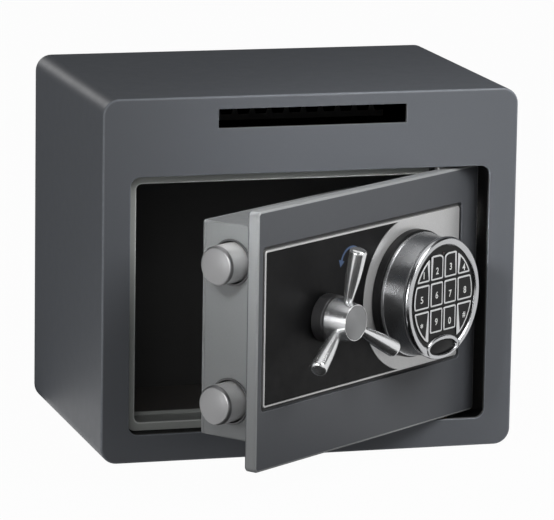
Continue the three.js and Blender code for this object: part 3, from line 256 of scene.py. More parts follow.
def softened(corners, rounds, steps=CORNER_STEPS, closed=False):
    """A line whose corners become arcs. Each arc is tangent to both sides of its corner: its centre
    lies on the bisector, at round / sin(half the corner's angle), and its points swing evenly from
    one tangent point to the other. The ends of an open line stay sharp."""
    corners = np.asarray(corners, float)
    rounds = np.broadcast_to(np.asarray(rounds, float), len(corners)).copy()
    if not closed:
        rounds[[0, -1]] = 0
    back = np.roll(corners, 1, axis=0) - corners
    ahead = np.roll(corners, -1, axis=0) - corners
    if not closed:
        back[0], ahead[-1] = -ahead[0], -back[-1]
    back /= np.linalg.norm(back, axis=1, keepdims=True)
    ahead /= np.linalg.norm(ahead, axis=1, keepdims=True)
    angle = np.arccos(np.clip((back * ahead).sum(1), -1, 1))
    straight = angle > math.pi - 1e-4
    rounds[straight] = 0
    angle = np.where(straight, math.pi / 2, angle)
    bisector = back + ahead
    length = np.linalg.norm(bisector, axis=1, keepdims=True)
    bisector = np.where(length > 1e-6, bisector / np.maximum(length, 1e-6), 0)
    centre = corners + bisector * (rounds / np.sin(angle / 2))[:, None]
    reach = (rounds / np.tan(angle / 2))[:, None]
    start = corners + back * reach - centre
    end = corners + ahead * reach - centre
    swing = (math.pi - angle)[:, None, None]
    share = np.linspace(0, 1, steps + 1)[None, :, None]
    arcs = np.sin((1 - share) * swing) * start[:, None] + np.sin(share * swing) * end[:, None]
    return (centre[:, None] + arcs / np.sin(swing)).reshape(-1, corners.shape[1])


def rounded_box(low, high, inset, corner, steps=CORNER_STEPS):
    """A rectangle between two corners, drawn in, with quarter-circle corners, from the lower right
    one anticlockwise. Its sides are the gaps after each corner: right, top, left and bottom."""
    (x0, z0), (x1, z1) = np.array(low[:2]) + inset, np.array(high[:2]) - inset
    corners = [(x1, z0), (x1, z1), (x0, z1), (x0, z0)]
    return softened(corners, max(corner, 0.05), steps, closed=True)


def disc(inner, radius, height, rounds, steps, closed=False):
    """The profile of a disc, solid or bored, with each of its four corners rounded."""
    corners = [(inner, 0), (radius, 0), (radius, height), (inner, height)]
    return softened(corners, rounds, steps, closed)


def box_outline(low, high, corner, steps=CORNER_STEPS):
    """A rounded box as a function of how far it is drawn in, by which its corners grow tighter."""
    return lambda inset: rounded_box(low, high, inset, corner - inset, steps)


def side_gap(side, steps=CORNER_STEPS):
    """The column of a rounded box that spans a side: 0 right, 1 top, 2 left, 3 bottom."""
    return (side + 1) * (steps + 1) - 1


def arc(centre, half, angle):
    """Points on an oval at given angles: its half sizes times their cosine and sine."""
    return np.stack([centre[0] + half[0] * np.cos(angle), centre[1] + half[1] * np.sin(angle)], 1)


def oval(centre, half, turns):
    """Points at equal angles on an oval."""
    return arc(centre, half, np.linspace(0, 2 * math.pi, turns, endpoint=False))


def circle(centre, radius, turns=48):
    """An oval whose half sizes are one radius."""
    return oval(centre, (radius, radius), turns)


def quarter(edge, steps=EDGE_STEPS):
    """A quarter round as (drawn in, set back): edge (1 - cos t) and edge (1 - sin t), where t goes
    from 0 to a right angle, from the side of a plate to its face."""
    t = np.linspace(0, math.pi / 2, steps + 1)
    return np.stack([edge * (1 - np.cos(t)), edge * (1 - np.sin(t))], 1)


def at_depth(loop, out):
    """A flat outline held at one distance out."""
    return np.column_stack([loop, np.full(len(loop), float(out))])


def rounded_edge(outline, out, way, edge, steps=EDGE_STEPS):
    """The loops of a plate's rounded edge, from its side to its face: the outline drawn in, at out
    plus, or for a front minus, the quarter round's setback."""
    return [at_depth(outline(inset), out + way * setback) for inset, setback in quarter(edge, steps)]


def both_edges(outline, back, front, edge):
    """The loops of a plate's rear edge, from its rear face to its side, and of its front edge, from
    its side to its face."""
    return rounded_edge(outline, back, 1, edge)[::-1], rounded_edge(outline, front, -1, edge)


def at_right(loop, right):
    """An outline of (out, up) held at one place to the right."""
    return np.column_stack([np.full(len(loop), float(right)), loop[:, 1], loop[:, 0]])


def at_height(loop, up):
    """An outline of (right, out) held at one height."""
    return np.column_stack([loop[:, 0], np.full(len(loop), float(up)), loop[:, 1]])


def grown(loop, by):
    """An outline moved out along its own normals: each point goes by the given distance along the
    mean of its two sides' normals, divided by how far that mean falls short of one."""
    after = np.roll(loop, -1, axis=0) - loop
    after /= np.linalg.norm(after, axis=1, keepdims=True)
    normal = np.stack([after[:, 1], -after[:, 0]], 1)
    mean = normal + np.roll(normal, 1, axis=0)
    mean /= (mean * normal).sum(1, keepdims=True)
    area = (loop[:, 0] * np.roll(loop[:, 1], -1) - np.roll(loop[:, 0], -1) * loop[:, 1]).sum()
    return loop + mean * by * np.sign(area)


def drawn_in(loop, by):
    """An outline moved inwards. Points that would come nearer to the outline than they should, at
    its tight corners, are spread evenly between their neighbours that keep the distance."""
    inner = grown(loop, -by)
    run = np.roll(loop, -1, axis=0) - loop
    offset = inner[:, None] - loop[None]
    share = np.clip((offset * run).sum(-1) / (run * run).sum(-1), 0, 1)
    near = np.linalg.norm(offset - share[..., None] * run, axis=-1).min(1)
    order = np.arange(len(loop))
    kept = near > by * 0.97
    lines = [np.interp(order, order[kept], inner[kept, axis], period=len(loop)) for axis in (0, 1)]
    return np.stack(lines, 1)


def lathe(profile, start, direction=(0, 0, 1), turns=TURNS):
    """A profile of (radius, along) turned about an axis: start + along times the axis + radius times
    (cosine times one cross direction + sine times the other)."""
    axis = np.array(direction, float) / np.linalg.norm(direction)
    helper = np.array([0, 1, 0]) if abs(axis[1]) < 0.9 else np.array([1, 0, 0])
    across = np.cross(helper, axis)
    across /= np.linalg.norm(across)
    upward = np.cross(axis, across)
    angle = np.linspace(0, 2 * math.pi, turns, endpoint=False)
    ring = np.cos(angle)[:, None] * across + np.sin(angle)[:, None] * upward
    profile = np.asarray(profile, float)
    along = profile[:, 1, None, None] * axis
    return np.asarray(start, float) + along + profile[:, 0, None, None] * ring


# Pieces


class Skin:
    """The surface of one piece, gathered from patches and closed where their edges meet."""

    def __init__(self, side):
        self.side = side
        self.points, self.faces, self.marks = [], [], []
        self.wear, self.map = [], []
        self.total = 0

    def take(self, points, around, wear):
        """Adds points, with the map and the edge lightening, partly a rubbed coat and partly a painted
        highlight, at each corner of the faces between them.
        """
        self.points.append(points)
        self.map.append(around.reshape(-1, 2))
        self.wear.append(np.broadcast_to(wear, around.shape[:-1]).ravel())
        self.total += len(points)

    def rows(self, grid, mark=0, wear=0.0, leave=()):
        """Four-cornered faces between neighbouring loops: corner (i, j) with (i, j + 1),
        (i + 1, j + 1) and (i + 1, j), where j runs round the loop. Columns in leave stay open. The
        map's first number runs round the loop and its second along the way from the first loop to
        the last, and the edge lightening, partly a rubbed coat and partly a painted highlight, swells
        and fades along that way as a sine."""
        grid = np.asarray(grid, float)
        count, across = grid.shape[:2]
        columns = np.setdiff1d(np.arange(across), leave)
        i, j = np.meshgrid(np.arange(count - 1), columns, indexing="ij")
        k = (j + 1) % across
        base = i * across
        quads = np.stack([base + j, base + k, base + across + k, base + across + j], -1)
        self.faces += (quads.reshape(-1, 4) + self.total).tolist()
        self.marks += [mark] * quads[..., 0].size
        steps = np.linalg.norm(np.diff(grid[:, 0], axis=0), axis=1)
        travel = np.concatenate([[0], np.cumsum(steps)])
        swell = wear * np.sin(np.linspace(0, math.pi, count))
        corner = np.stack([i, i, i + 1, i + 1], -1)
        around = np.stack([np.stack([j, j + 1, j + 1, j], -1) / across, travel[corner]], -1)
        self.take(grid.reshape(-1, 3), around, swell[corner])
        return self

    def cap(self, outline, holes=(), mark=0):
        """A flat face inside an outline and outside its holes, cut into triangles. Its map is its
        own place, seen slightly askew so that it spreads on a face that looks any way."""
        loops = [np.asarray(loop, float) for loop in (outline, *holes)]
        triangles = np.array(tessellate_polygon([[Vector(p) for p in loop] for loop in loops]))
        points = np.concatenate(loops)
        self.faces += (triangles + self.total).tolist()
        self.marks += [mark] * len(triangles)
        askew = points @ np.array([(1.0, 0.0), (0.0, 1.0), (0.7, 0.5)])
        self.take(points, askew[triangles], 0.0)
        return self

    def banded(self, grid, bands):
        """A section carried along, closed at both ends, with each band of its columns marked in
        turn from 1."""
        bands = [list(band) for band in bands]
        self.rows(grid, leave=sum(bands, [])).cap(grid[0]).cap(grid[-1])
        for mark, band in enumerate(bands, 1):
            self.rows(grid, mark, leave=np.setdiff1d(np.arange(len(grid[0])), band))
        return self

    def wall(self, loop, start, end, mark=0, leave=()):
        """A straight wall along an outline, from one distance out to another."""
        return self.rows([at_depth(loop, start), at_depth(loop, end)], mark, leave=leave)

    def flat(self, outline, out, holes=(), mark=0):
        """A face at one distance out, inside an outline and outside its holes."""
        return self.cap(at_depth(outline, out), [at_depth(hole, out) for hole in holes], mark)

    def plate(self, outline, back, front, edge, holes=(), front_mark=0):
        """A plate: its outline, drawn in and set back as a quarter round at both ends, with a flat
        face behind and in front, and straight round holes through it."""
        behind, ahead = both_edges(outline, back, front, edge)
        self.rows(behind, 0, 1.0).rows([behind[-1], ahead[0]]).rows(ahead, 0, 1.0)
        self.cap(behind[0], [at_depth(hole, back) for hole in holes])
        self.cap(ahead[-1], [at_depth(hole, front) for hole in holes], front_mark)
        for hole in holes:
            self.wall(hole, back, front)
        return self

    def mesh(self, name):
        """All patches in one mesh, with shared corners merged and every face turned outwards."""
        mesh = bpy.data.meshes.new(name)
        points = self.side.place(np.concatenate(self.points))
        mesh.from_pydata(points.tolist(), [], self.faces)
        mesh.polygons.foreach_set("material_index", np.array(self.marks, np.int32))
        around = mesh.uv_layers.new(name="around")
        around.uv.foreach_set("vector", np.concatenate(self.map).astype(np.float32).ravel())
        layer = mesh.attributes.new("edge_wear", "FLOAT", "CORNER")
        layer.data.foreach_set("value", np.concatenate(self.wear).astype(np.float32))
        merge(mesh)
        return mesh

    def piece(self, name, body, slot, finishes, replaces=(), sharp=38):
        """The finished piece on its body, with its finishes in the order of its marks."""
        piece = stand(name, self.mesh(name), body, finishes, replaces)
        shade_smooth(piece.data, sharp)
        smooth = piece.modifiers.new("even_shading", "WEIGHTED_NORMAL")
        smooth.keep_sharp = True
        return piece


def merge(mesh, flatten=False):
    """Joins corners that lie on each other. Then it either joins the faces of each flat side, or
    clears edges without length and turns every face outwards."""
    work = bmesh.new()
    work.from_mesh(mesh)
    bmesh.ops.remove_doubles(work, verts=work.verts, dist=MERGE_DISTANCE)
    if flatten:
        flat = math.radians(1)
        bmesh.ops.dissolve_limit(work, angle_limit=flat, verts=work.verts, edges=work.edges)
    else:
        bmesh.ops.dissolve_degenerate(work, edges=work.edges, dist=MERGE_DISTANCE / 2)
        bmesh.ops.recalc_face_normals(work, faces=work.faces)
    work.to_mesh(mesh)
    work.free()


def shade_smooth(mesh, sharp):
    """Shades every face smooth, with a crease where two meet at more than an angle in degrees."""
    mesh.polygons.foreach_set("use_smooth", np.ones(len(mesh.polygons), bool))
    mesh.set_sharp_from_angle(angle=math.radians(sharp))


def in_scene(name, data):
    """A new object of the scene."""
    holder = bpy.data.objects.new(name, data)
    bpy.context.scene.collection.objects.link(holder)
    return holder


def stand(name, mesh, body, finishes, replaces=()):
    """Puts a mesh in the scene as a piece that rides on a body."""
    piece = in_scene(name, mesh)
    for finish in finishes:
        mesh.materials.append(finish)
    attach(piece, body)
    if replaces:
        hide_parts(*replaces)
    return piece


def turned(name, side, profile, start, body, slot, finish, node, way=(0, 0, 1), turns=TURNS, ring=False):
    """A piece turned from a profile, in the place of a CAD node; a ring's profile is a closed loop
    round its section."""
    loops = lathe(profile, start, way, turns)
    skin = Skin(side).rows([*loops, loops[0]] if ring else loops)
    skin.piece(name, body, slot, [finish], [node])


def eased(node, body, finish, width, steps=2):
    """A copy of a CAD node with its corners merged, its flat faces joined and its edges rounded."""
    mesh = frame["nodes"][node].data.copy()
    mesh.name = f"{node}_eased"
    mesh.materials.clear()
    merge(mesh, flatten=True)
    piece = stand(f"{node}_eased", mesh, body, [finish], [node])
    shade_smooth(mesh, 50)
    round_edges = piece.modifiers.new("eased_edges", "BEVEL")
    round_edges.width = width * MM
    round_edges.segments = steps
    round_edges.limit_method = "ANGLE"
    round_edges.angle_limit = math.radians(35)
    round_edges.harden_normals = True
    return piece


# Finishes


def tone(steps, share=1.0):
    """A colour given in display steps of 0 to 255, as the linear values that a shader takes, made
    lighter or darker by a share."""
    steps = np.array(steps) / 255
    linear = np.where(steps <= 0.04045, steps / 12.92, ((steps + 0.055) / 1.055) ** 2.4)
    return (*np.minimum(linear * share, 1.0).tolist(), 1.0)


def feed(socket, value):
    """Links a node's socket to another, or sets its own value."""
    if isinstance(value, bpy.types.NodeSocket):
        socket.id_data.links.new(value, socket)
    else:
        socket.default_value = value


def give(node, **inputs):
    """Feeds a node's inputs by their names, with an underscore for each space."""
    for key, value in inputs.items():
        feed(node.inputs[key.replace("_", " ")], value)
    return node


class Finish:
    """A finish: one shader, with patterns from object coordinates or a piece's own attribute."""

    def __init__(self, name, colour, **inputs):
        self.material = bpy.data.materials.new(name)
        self.material.use_nodes = True
        self.tree = self.material.node_tree
        self.shader = self.tree.nodes["Principled BSDF"]
        self.colour, self.normal = colour, None
        self.give(**inputs)

    def give(self, **inputs):
        """Feeds the shader's own inputs."""
        give(self.shader, **inputs)

    def node(self, kind, **inputs):
        """A new node with some of its inputs fed."""
        return give(self.tree.nodes.new(f"ShaderNode{kind}"), **inputs)

    def where(self, stretch=(1, 1, 1), turn=0.0):
        """Object coordinates, turned about the upright and stretched."""
        place = self.node("TexCoord").outputs["Object"]
        spread = self.node("Mapping", Vector=place, Rotation=(0, 0, turn), Scale=stretch)
        return spread.outputs["Vector"]

    def noise(self, size, detail=2.0, where=None):
        """Soft noise whose features are about the given size in millimetres."""
        where = where or self.where()
        node = self.node("TexNoise", Scale=1 / (size * MM), Detail=detail, Roughness=0.55, Vector=where)
        return node.outputs["Fac"]

    def rings(self, size):
        """Fine lines across the way along a turned profile, from the piece's own map."""
        around = self.node("UVMap")
        around.uv_map = "around"
        along = self.node("SeparateXYZ", Vector=around.outputs["UV"]).outputs["Y"]
        node = self.node("TexNoise", Scale=1 / size, Detail=3.0)
        node.noise_dimensions = "1D"
        give(node, W=along)
        return node.outputs["Fac"]

    def ranged(self, factor, low, high, start=0.3, end=0.7):
        """A factor brought from one range to another, and held inside it."""
        ends = {"From_Min": start, "From_Max": end, "To_Min": low, "To_Max": high}
        return self.node("MapRange", Value=factor, **ends).outputs["Result"]

    def mixed(self, factor, first, second):
        """Two colours mixed by a factor; a bare number stands for the finish's own colour times it.
        The mix node's colour sockets are its inputs 6 and 7."""
        node = self.node("Mix", Factor=factor)
        node.data_type = "RGBA"
        for socket, value in zip(node.inputs[6:8], (first, second)):
            feed(socket, tone(self.colour, value) if np.isscalar(value) else value)
        return node.outputs[2]

    def worn_and_highlighted(self, colour, share, size, detail, low, high):
        """A colour that turns lighter on the piece's edges, by its own attribute times a noise: partly a
        rubbed coat, partly a painted highlight."""
        wear = self.node("Attribute")
        wear.attribute_name = "edge_wear"
        patchy = self.node("Math")
        patchy.operation = "MULTIPLY"
        feed(patchy.inputs[0], wear.outputs["Fac"])
        feed(patchy.inputs[1], self.ranged(self.noise(size, detail), low, high))
        self.give(Base_Color=self.mixed(patchy.outputs[0], colour, share))

    def bump(self, height, depth, strength=1.0):
        """Raises the surface by a height pattern, up to a depth in millimetres."""
        node = self.node("Bump", Height=height, Distance=depth * MM, Strength=strength)
        if self.normal is not None:
            give(node, Normal=self.normal)
        self.normal = node.outputs["Normal"]
        self.give(Normal=self.normal)

    def textured(self, pattern, shares, uneven, rough, depth, strength):
        """One pattern sets the colour, between two shares of the finish's own, and raises the
        surface; an uneven one sets the roughness, between two values."""
        self.give(Base_Color=self.mixed(self.ranged(pattern, 0, 1), *shares))
        self.give(Roughness=self.ranged(uneven, *rough))
        self.bump(pattern, depth, strength)
        return self.material

    def grooved(self, amount):
        """Draws highlights out across the turning marks, which run round the piece's own map."""
        tangent = self.node("Tangent")
        tangent.direction_type = "UV_MAP"
        tangent.uv_map = "around"
        self.give(Anisotropic=amount, Anisotropic_Rotation=0.25, Tangent=tangent.outputs["Tangent"])


def powder_coat(name, colour, grain=0.5, spread=0.07, rough=(0.46, 0.5), edge=1.5, specular=0.3):
    """Powder-coated steel: fine speckle and grain, the faintest mottling, and edges painted lighter,
    partly where the coat is rubbed thin and partly as a painted highlight."""
    paint = Finish(name, colour, Specular_IOR_Level=specular)
    speckle = paint.ranged(paint.noise(grain, 3.0), 0, 1, 0.25, 0.75)
    mottled = paint.mixed(speckle, 1 - spread, 1 + spread)
    broad = paint.mixed(paint.ranged(paint.noise(60), 0, 0.2), mottled, 0.96)
    paint.worn_and_highlighted(broad, edge, 3, 3.0, 0.7, 1.0)
    paint.give(Roughness=paint.ranged(paint.noise(9, 3.0), *rough))
    paint.bump(paint.noise(grain * 1.4), 0.03, 0.4)
    paint.bump(paint.noise(4.5, 1.0), 0.05, 0.06)
    return paint.material


def plated(name, colour, rough=(0.1, 0.16), smear=14, dull=0.92, grooves=0.0, metallic=1.0):
    """Polished plating: bright metal with faint handling smears and a very slight waviness."""
    metal = Finish(name, colour, Metallic=metallic)
    smears = metal.noise(smear)
    metal.give(Base_Color=metal.mixed(metal.ranged(smears, 0, 1), dull, 1))
    metal.give(Roughness=metal.ranged(smears, *rough))
    metal.bump(metal.noise(0.5, 1.0), 0.0005, 0.04)
    if grooves:
        metal.grooved(grooves)
    return metal.material


def turned_metal(name, colour, rough, grooves=0.5, metallic=1.0):
    """Metal from the lathe: fine rings across its profile, and slight uneven sheen."""
    metal = Finish(name, colour, Metallic=metallic)
    metal.grooved(grooves)
    return metal.textured(metal.rings(0.2), (0.95, 1), metal.noise(9), rough, 0.0005, 0.2)


def brushed(name, colour, along, turn=0.0, rough=(0.3, 0.42), metallic=1.0):
    """Brushed metal: long fine scratches along one direction."""
    metal = Finish(name, colour, Metallic=metallic)
    lines = metal.noise(0.4, 3.0, metal.where(along, turn))
    return metal.textured(lines, (0.88, 1.06), metal.noise(12), rough, 0.01, 0.3)


def moulded(name, colour, rough=(0.34, 0.44), grain=0.5, specular=0.3, coat=0.0):
    """Moulded plastic: a fine even texture, with its colour a little lighter along its edges."""
    plastic = Finish(name, colour, Specular_IOR_Level=specular, Coat_Weight=coat)
    fine = plastic.noise(grain)
    plastic.worn_and_highlighted(plastic.mixed(plastic.ranged(fine, 0, 1), 0.85, 1.15), 1.7, 1.5, 2.0, 0, 0.5)
    plastic.give(Roughness=plastic.ranged(plastic.noise(6, 3.0), *rough))
    plastic.bump(fine, 0.012, 0.25)
    return plastic.material


def felt(name, colour):
    """Felt: matted fibres, light and dark by turns, with a soft sheen."""
    cloth = Finish(name, colour, Specular_IOR_Level=0.15, Sheen_Weight=0.25, Sheen_Roughness=0.6)
    fibres = cloth.noise(0.7, 5.0)
    return cloth.textured(fibres, (0.6, 1.5), fibres, (0.88, 0.98), 0.25, 0.6)


door_turn = math.atan2(door_right[1], door_right[0])
# The edge share in each paint makes its rounded edges lighter: partly a rubbed coat, partly a painted
# highlight; the cabinet's large share paints the glow along its rounded edges.
CABINET_PAINT = powder_coat("cabinet_powder_coat", (96, 99, 104), edge=2.3)
DOOR_PAINT = powder_coat("door_powder_coat", (82, 84, 88))
# The door's sides and front edge: the door's grey made much lighter, a painted highlight, and smoother.
DOOR_EDGE_PAINTED_HIGHLIGHT = powder_coat("door_edge_painted_highlight", (146, 148, 149), spread=0.02, rough=(0.29, 0.31), edge=1.15)
# The jamb and sill: a lighter grey than the cabinet, raised further as painted light to make up for the
# shade inside the opening.
JAMB_PAINT_WITH_PAINTED_LIGHT = powder_coat("jamb_paint", (170, 173, 170), grain=0.8, spread=0.04, rough=(0.3, 0.42))
# The rounded noses of the jamb's flange and the sill: much lighter than the jamb, a painted highlight.
FOLD_PAINTED_HIGHLIGHT = powder_coat("fold_painted_highlight", (214, 217, 214), grain=0.8, spread=0.04, rough=(0.26, 0.34))
# The jamb's outer wall and round beside the front wall: near black, a painted shadow of the seam between
# them.
SEAM_PAINTED_SHADOW = powder_coat("seam_painted_shadow", (26, 27, 27), rough=(0.5, 0.6), specular=0.15)
CASE_PAINT = powder_coat("case_paint", (134, 136, 137), grain=0.8, spread=0.04, rough=(0.36, 0.48))
INTERIOR = powder_coat("interior_black", (104, 104, 104), rough=(0.6, 0.72), specular=0.15)
# The chute and baffle behind the letter slot: black with almost no reflectance, a painted shade for the
# dark inside of the slot.
SLOT_PAINTED_SHADE = powder_coat("slot_painted_shade", (1, 1, 1), rough=(0.7, 0.8), specular=0.0)
CHROME = plated("chrome_plating", (220, 221, 222), (0.23, 0.26), 22, 0.97, 0.3, metallic=0.92)
DARK_CHROME = plated("dial_chrome", (172, 173, 175), (0.25, 0.28), 22, 0.98, 0.75, metallic=0.97)
RING_CHROME = plated("ring_chrome", (184, 185, 187), (0.2, 0.24), dull=0.98)
# The bolts' bars and the hinge pins: near white and mostly matt, a painted highlight in place of their
# reflections.
STEEL_PAINTED_HIGHLIGHT = turned_metal("turned_steel_painted_highlight", (250, 250, 250), (0.22, 0.26), grooves=0.4, metallic=0.3)
BOLT_NOSE = turned_metal("bolt_nose", (150, 150, 151), (0.36, 0.4), grooves=0.0, metallic=0.75)
COLLAR_STEEL = turned_metal("collar_steel", (92, 92, 93), (0.34, 0.38), metallic=0.7)
SATIN_CAP = turned_metal("satin_cap", (132, 133, 134), (0.34, 0.4), metallic=0.9)
SATIN_SILVER = brushed("satin_silver", (200, 200, 200), (0.02, 1, 1), -door_turn, metallic=0.5)
ZINC = brushed("dull_zinc", (96, 98, 101), (1, 1, 0.2), rough=(0.4, 0.52))
BRONZE = turned_metal("oiled_bronze", (156, 122, 70), (0.3, 0.44))
BLACK_PLASTIC = moulded("black_moulding", (40, 40, 41), specular=0.5)
DIAL_BLACK = moulded("dial_moulding", (14, 14, 15), specular=0.2)
BLACK_PANEL = moulded("black_panel", (13, 13, 14), rough=(0.4, 0.5), grain=0.4, specular=0.12)
KEY_PLASTIC = moulded("key_plastic", (12, 12, 13), rough=(0.3, 0.4), specular=0.15)
KEY_SILVER = plated("key_silver_print", (222, 223, 224), (0.34, 0.46), smear=3, metallic=0.3)
WHITE_INK = moulded("white_ink", (232, 233, 232), rough=(0.4, 0.5))
ARROW_INK = moulded("arrow_ink", (76, 94, 124), rough=(0.4, 0.5), specular=0.15)
LAMP = moulded("lamp_lens", (40, 12, 12), rough=(0.12, 0.2), coat=0.6)
FELT = felt("dark_felt", (80, 71, 60))


# Cabinet


opening = box_outline(OPENING_LOW, OPENING_HIGH, OPENING_CORNER)
letter_slot = box_outline(SLOT_LOW, SLOT_HIGH, SLOT_CORNER, 3)


def make_cabinet_shell():
    """The cabinet: a rounded tube round the depth, a front wall with its two openings, whose edges
    are quarter rounds, and a floor with four anchor holes."""
    (_, _, back), _, (half, top, face) = CABINET.span("cabinet_shell")
    wall, edge, inside = SHELL_WALL, CABINET_EDGE, face - FRONT_WALL
    outer = box_outline((-half, 0), (half, top), CABINET_CORNER)
    inner = outer(wall)
    bottom = [side_gap(3)]
    rear, front = both_edges(outer, back, face, edge)
    # The rounded edges get the lightening attribute: partly a rubbed coat, partly a painted highlight.
    skin = Skin(CABINET).rows([at_depth(inner, back), rear[0]]).rows(rear, 0, 0.6)
    skin.rows([rear[-1], front[0]], leave=bottom).rows(front, 0, 0.6)

    rims, ends = [], []
    for outline, size in ((opening, OPENING_BREAK), (letter_slot, SLOT_BREAK)):
        rim = [at_depth(outline(-setback), face - inset) for inset, setback in quarter(size, 3)]
        rims.append(rim[0])
        ends.append(at_depth(outline(0), inside))
        skin.rows(rim, 0, 1.0).rows([rim[-1], ends[-1]], 1)
    skin.cap(front[-1], rims).cap(at_depth(inner, inside), ends, 1)
    skin.wall(inner, inside, back, 1, bottom)

    right = half - CABINET_CORNER
    holes = [circle(spot, ANCHOR_RADIUS) for spot in FLOOR_ANCHORS]
    for height, rear_end, front_end, mark in ((0, back + edge, face - edge, 0), (wall, back, inside, 1)):
        floor = np.array([(-right, rear_end), (right, rear_end), (right, front_end), (-right, front_end)])
        skin.cap(at_height(floor, height), [at_height(hole, height) for hole in holes], mark)
    for hole in holes:
        skin.rows([at_height(hole, 0), at_height(hole, wall)])
    skin.piece("cabinet_wrap", "cabinet", "cabinet_paint", [CABINET_PAINT, INTERIOR], ["cabinet_shell"])


def make_back_panel():
    """The back: a rounded plate inside the shell, with two anchor holes."""
    low, _, high = CABINET.span("back_panel")
    outline = box_outline(low, high, CABINET_CORNER - SHELL_WALL - BACK_GAP)
    holes = [circle(spot, ANCHOR_RADIUS) for spot in BACK_ANCHORS]
    skin = Skin(CABINET).plate(outline, low[2], high[2], BACK_EDGE, holes, 1)
    skin.piece("back_plate", "cabinet", "cabinet_paint", [CABINET_PAINT, INTERIOR], ["back_panel"])


def jamb_path(offset):
    """The line that one point of the jamb's section follows round three sides of the opening, the
    given distance inside its edge: from the right end of the top, round two corners, to the right
    end of the sill. The corner's radius goes evenly from the opening's own to the flange's."""
    share = max(offset, 0) / JAMB_FLANGE
    corner = OPENING_CORNER + max(-offset, 0) + (JAMB_INNER_CORNER - OPENING_CORNER) * share
    left, low, top = OPENING_LOW[0] + offset, OPENING_LOW[1] + offset, OPENING_HIGH[1] - offset
    return softened([(JAMB_END, top), (left, top), (left, low), (JAMB_END, low)], corner)


def make_jamb():
    """The folded jamb: an L-shaped section, (inside the edge, out), carried round the opening."""
    sheet, wall_back, inner_face = JAMB_SHEET, CABINET.span("jamb_left")[2][2], JAMB_FACE - JAMB_SHEET
    flange = [(JAMB_FLANGE, JAMB_FACE), (JAMB_FLANGE, inner_face), (-sheet, inner_face)]
    section = [(-sheet, wall_back), (0, wall_back), (0, JAMB_FACE), *flange]
    section = softened(section, [0.2, 0.2, 0.8, JAMB_NOSE, JAMB_NOSE, 0.5], 3, closed=True)
    lines = np.stack([jamb_path(offset) for offset, _ in section], 1)
    out = np.broadcast_to(section[:, 1], lines.shape[:2])
    grid = np.concatenate([lines, out[..., None]], -1)
    # Columns 12 to 18, the flange's rounded nose, take the much lighter grey, a painted highlight.
    bands = {FOLD_PAINTED_HIGHLIGHT: np.arange(12, 19), SEAM_PAINTED_SHADOW: np.arange(4, 11)}
    # Columns 4 to 10, the outer wall and its round by the front wall, take near black, a painted shadow of
    # the seam.
    skin = Skin(CABINET).banded(grid, bands.values())
    skin.piece("folded_jamb", "cabinet", "jamb_paint", [JAMB_PAINT_WITH_PAINTED_LIGHT, *bands], ["jamb_left", "jamb_top"])


def make_sill():
    """The sill: a folded profile of (out, up) carried across the width."""
    low, sheet, front = OPENING_LOW[1] - JAMB_SHEET, JAMB_SHEET, JAMB_FACE - 0.05
    top, rear = OPENING_LOW[1] + JAMB_FLANGE, JAMB_FACE - sheet - SILL_DEPTH
    under = [(front, low), (front - sheet, low), (front - sheet, top - sheet), (rear + sheet, top - sheet)]
    behind = [(rear + sheet, SHELL_WALL), (rear, SHELL_WALL), (rear, top + SILL_LIP)]
    over = [(rear + sheet, top + SILL_LIP), (rear + sheet, top), (front, top)]
    rounds = [0.2, 0.2, 0.8, 0.8, 0.1, 0.1, 0.6, 0.6, 0.6, SILL_NOSE]
    profile = softened([*under, *behind, *over], rounds, 4, closed=True)
    ends = OPENING_LOW[0] + JAMB_FLANGE, JAMB_END
    grid = np.array([at_right(profile, end) for end in ends])
    # Columns 45 to 49, the sill's rounded nose, take the much lighter grey, a painted highlight.
    skin = Skin(CABINET).banded(grid, [np.arange(45, 50)])
    skin.piece("folded_sill", "cabinet", "jamb_paint", [JAMB_PAINT_WITH_PAINTED_LIGHT, FOLD_PAINTED_HIGHLIGHT], ["jamb_sill"])


def make_bush(node, face_up):
    """A flanged ring turned about the hinge line: its flange on the door's side of the bracket."""
    low, middle, high = CABINET.span(node)
    flange, height = (high[0] - low[0]) / 2, high[1] - low[1]
    shoulder, bore = height - BUSH_FLANGE, BUSH_BORE
    sleeve = [(bore, 0), (BUSH_OUTER, 0), (BUSH_OUTER, shoulder)]
    profile = [*sleeve, (flange, shoulder), (flange, height), (bore, height)]
    profile = softened(profile, [0.2, 0.2, 0.1, 0.3, 0.3, 0.3], 3, closed=True)
    if not face_up:
        profile[:, 1] = height - profile[:, 1]
    start, more = (middle[0], low[1], middle[2]), {"way": (0, 1, 0), "turns": 64, "ring": True}
    turned(f"{node}_ring", CABINET, profile, start, "cabinet", "bronze", BRONZE, node, **more)


def make_pin(node, shoulder):
    """A hinge pin turned about the hinge line, with a shoulder between two heights."""
    low, middle, high = DOOR.span(node)
    length, wide, shank = high[1] - low[1], (high[0] - low[0]) / 2, PIN_RADIUS
    start, end = shoulder
    collar = [(shank, start), (wide, start), (wide, end), (shank, end)]
    corners = [(0, 0), (shank, 0), *collar, (shank, length), (0, length)]
    profile = softened(corners, [0, PIN_END, 0.2, 0.3, 0.3, 0.2, PIN_END, 0], 3)
    look = ("door", "bright_steel", STEEL_PAINTED_HIGHLIGHT, node, (0, 1, 0), 64)
    turned(f"{node}_turned", DOOR, profile, (middle[0], low[1], middle[2]), *look)


make_cabinet_shell()
make_back_panel()
make_jamb()
make_sill()
eased("floor_mat", "cabinet", FELT, 0.9, 3)
for bracket in ("hinge_bracket_top", "hinge_bracket_bottom"):
    eased(bracket, "cabinet", ZINC, 0.6)
make_bush("hinge_bush_top", False)
make_bush("hinge_bush_bottom", True)


# Door


def recess(inset=0.0, corner=RECESS_CORNER):
    """The recess for the fascia, drawn in all round."""
    return rounded_box(RECESS_LOW, RECESS_HIGH, inset, corner, 5)


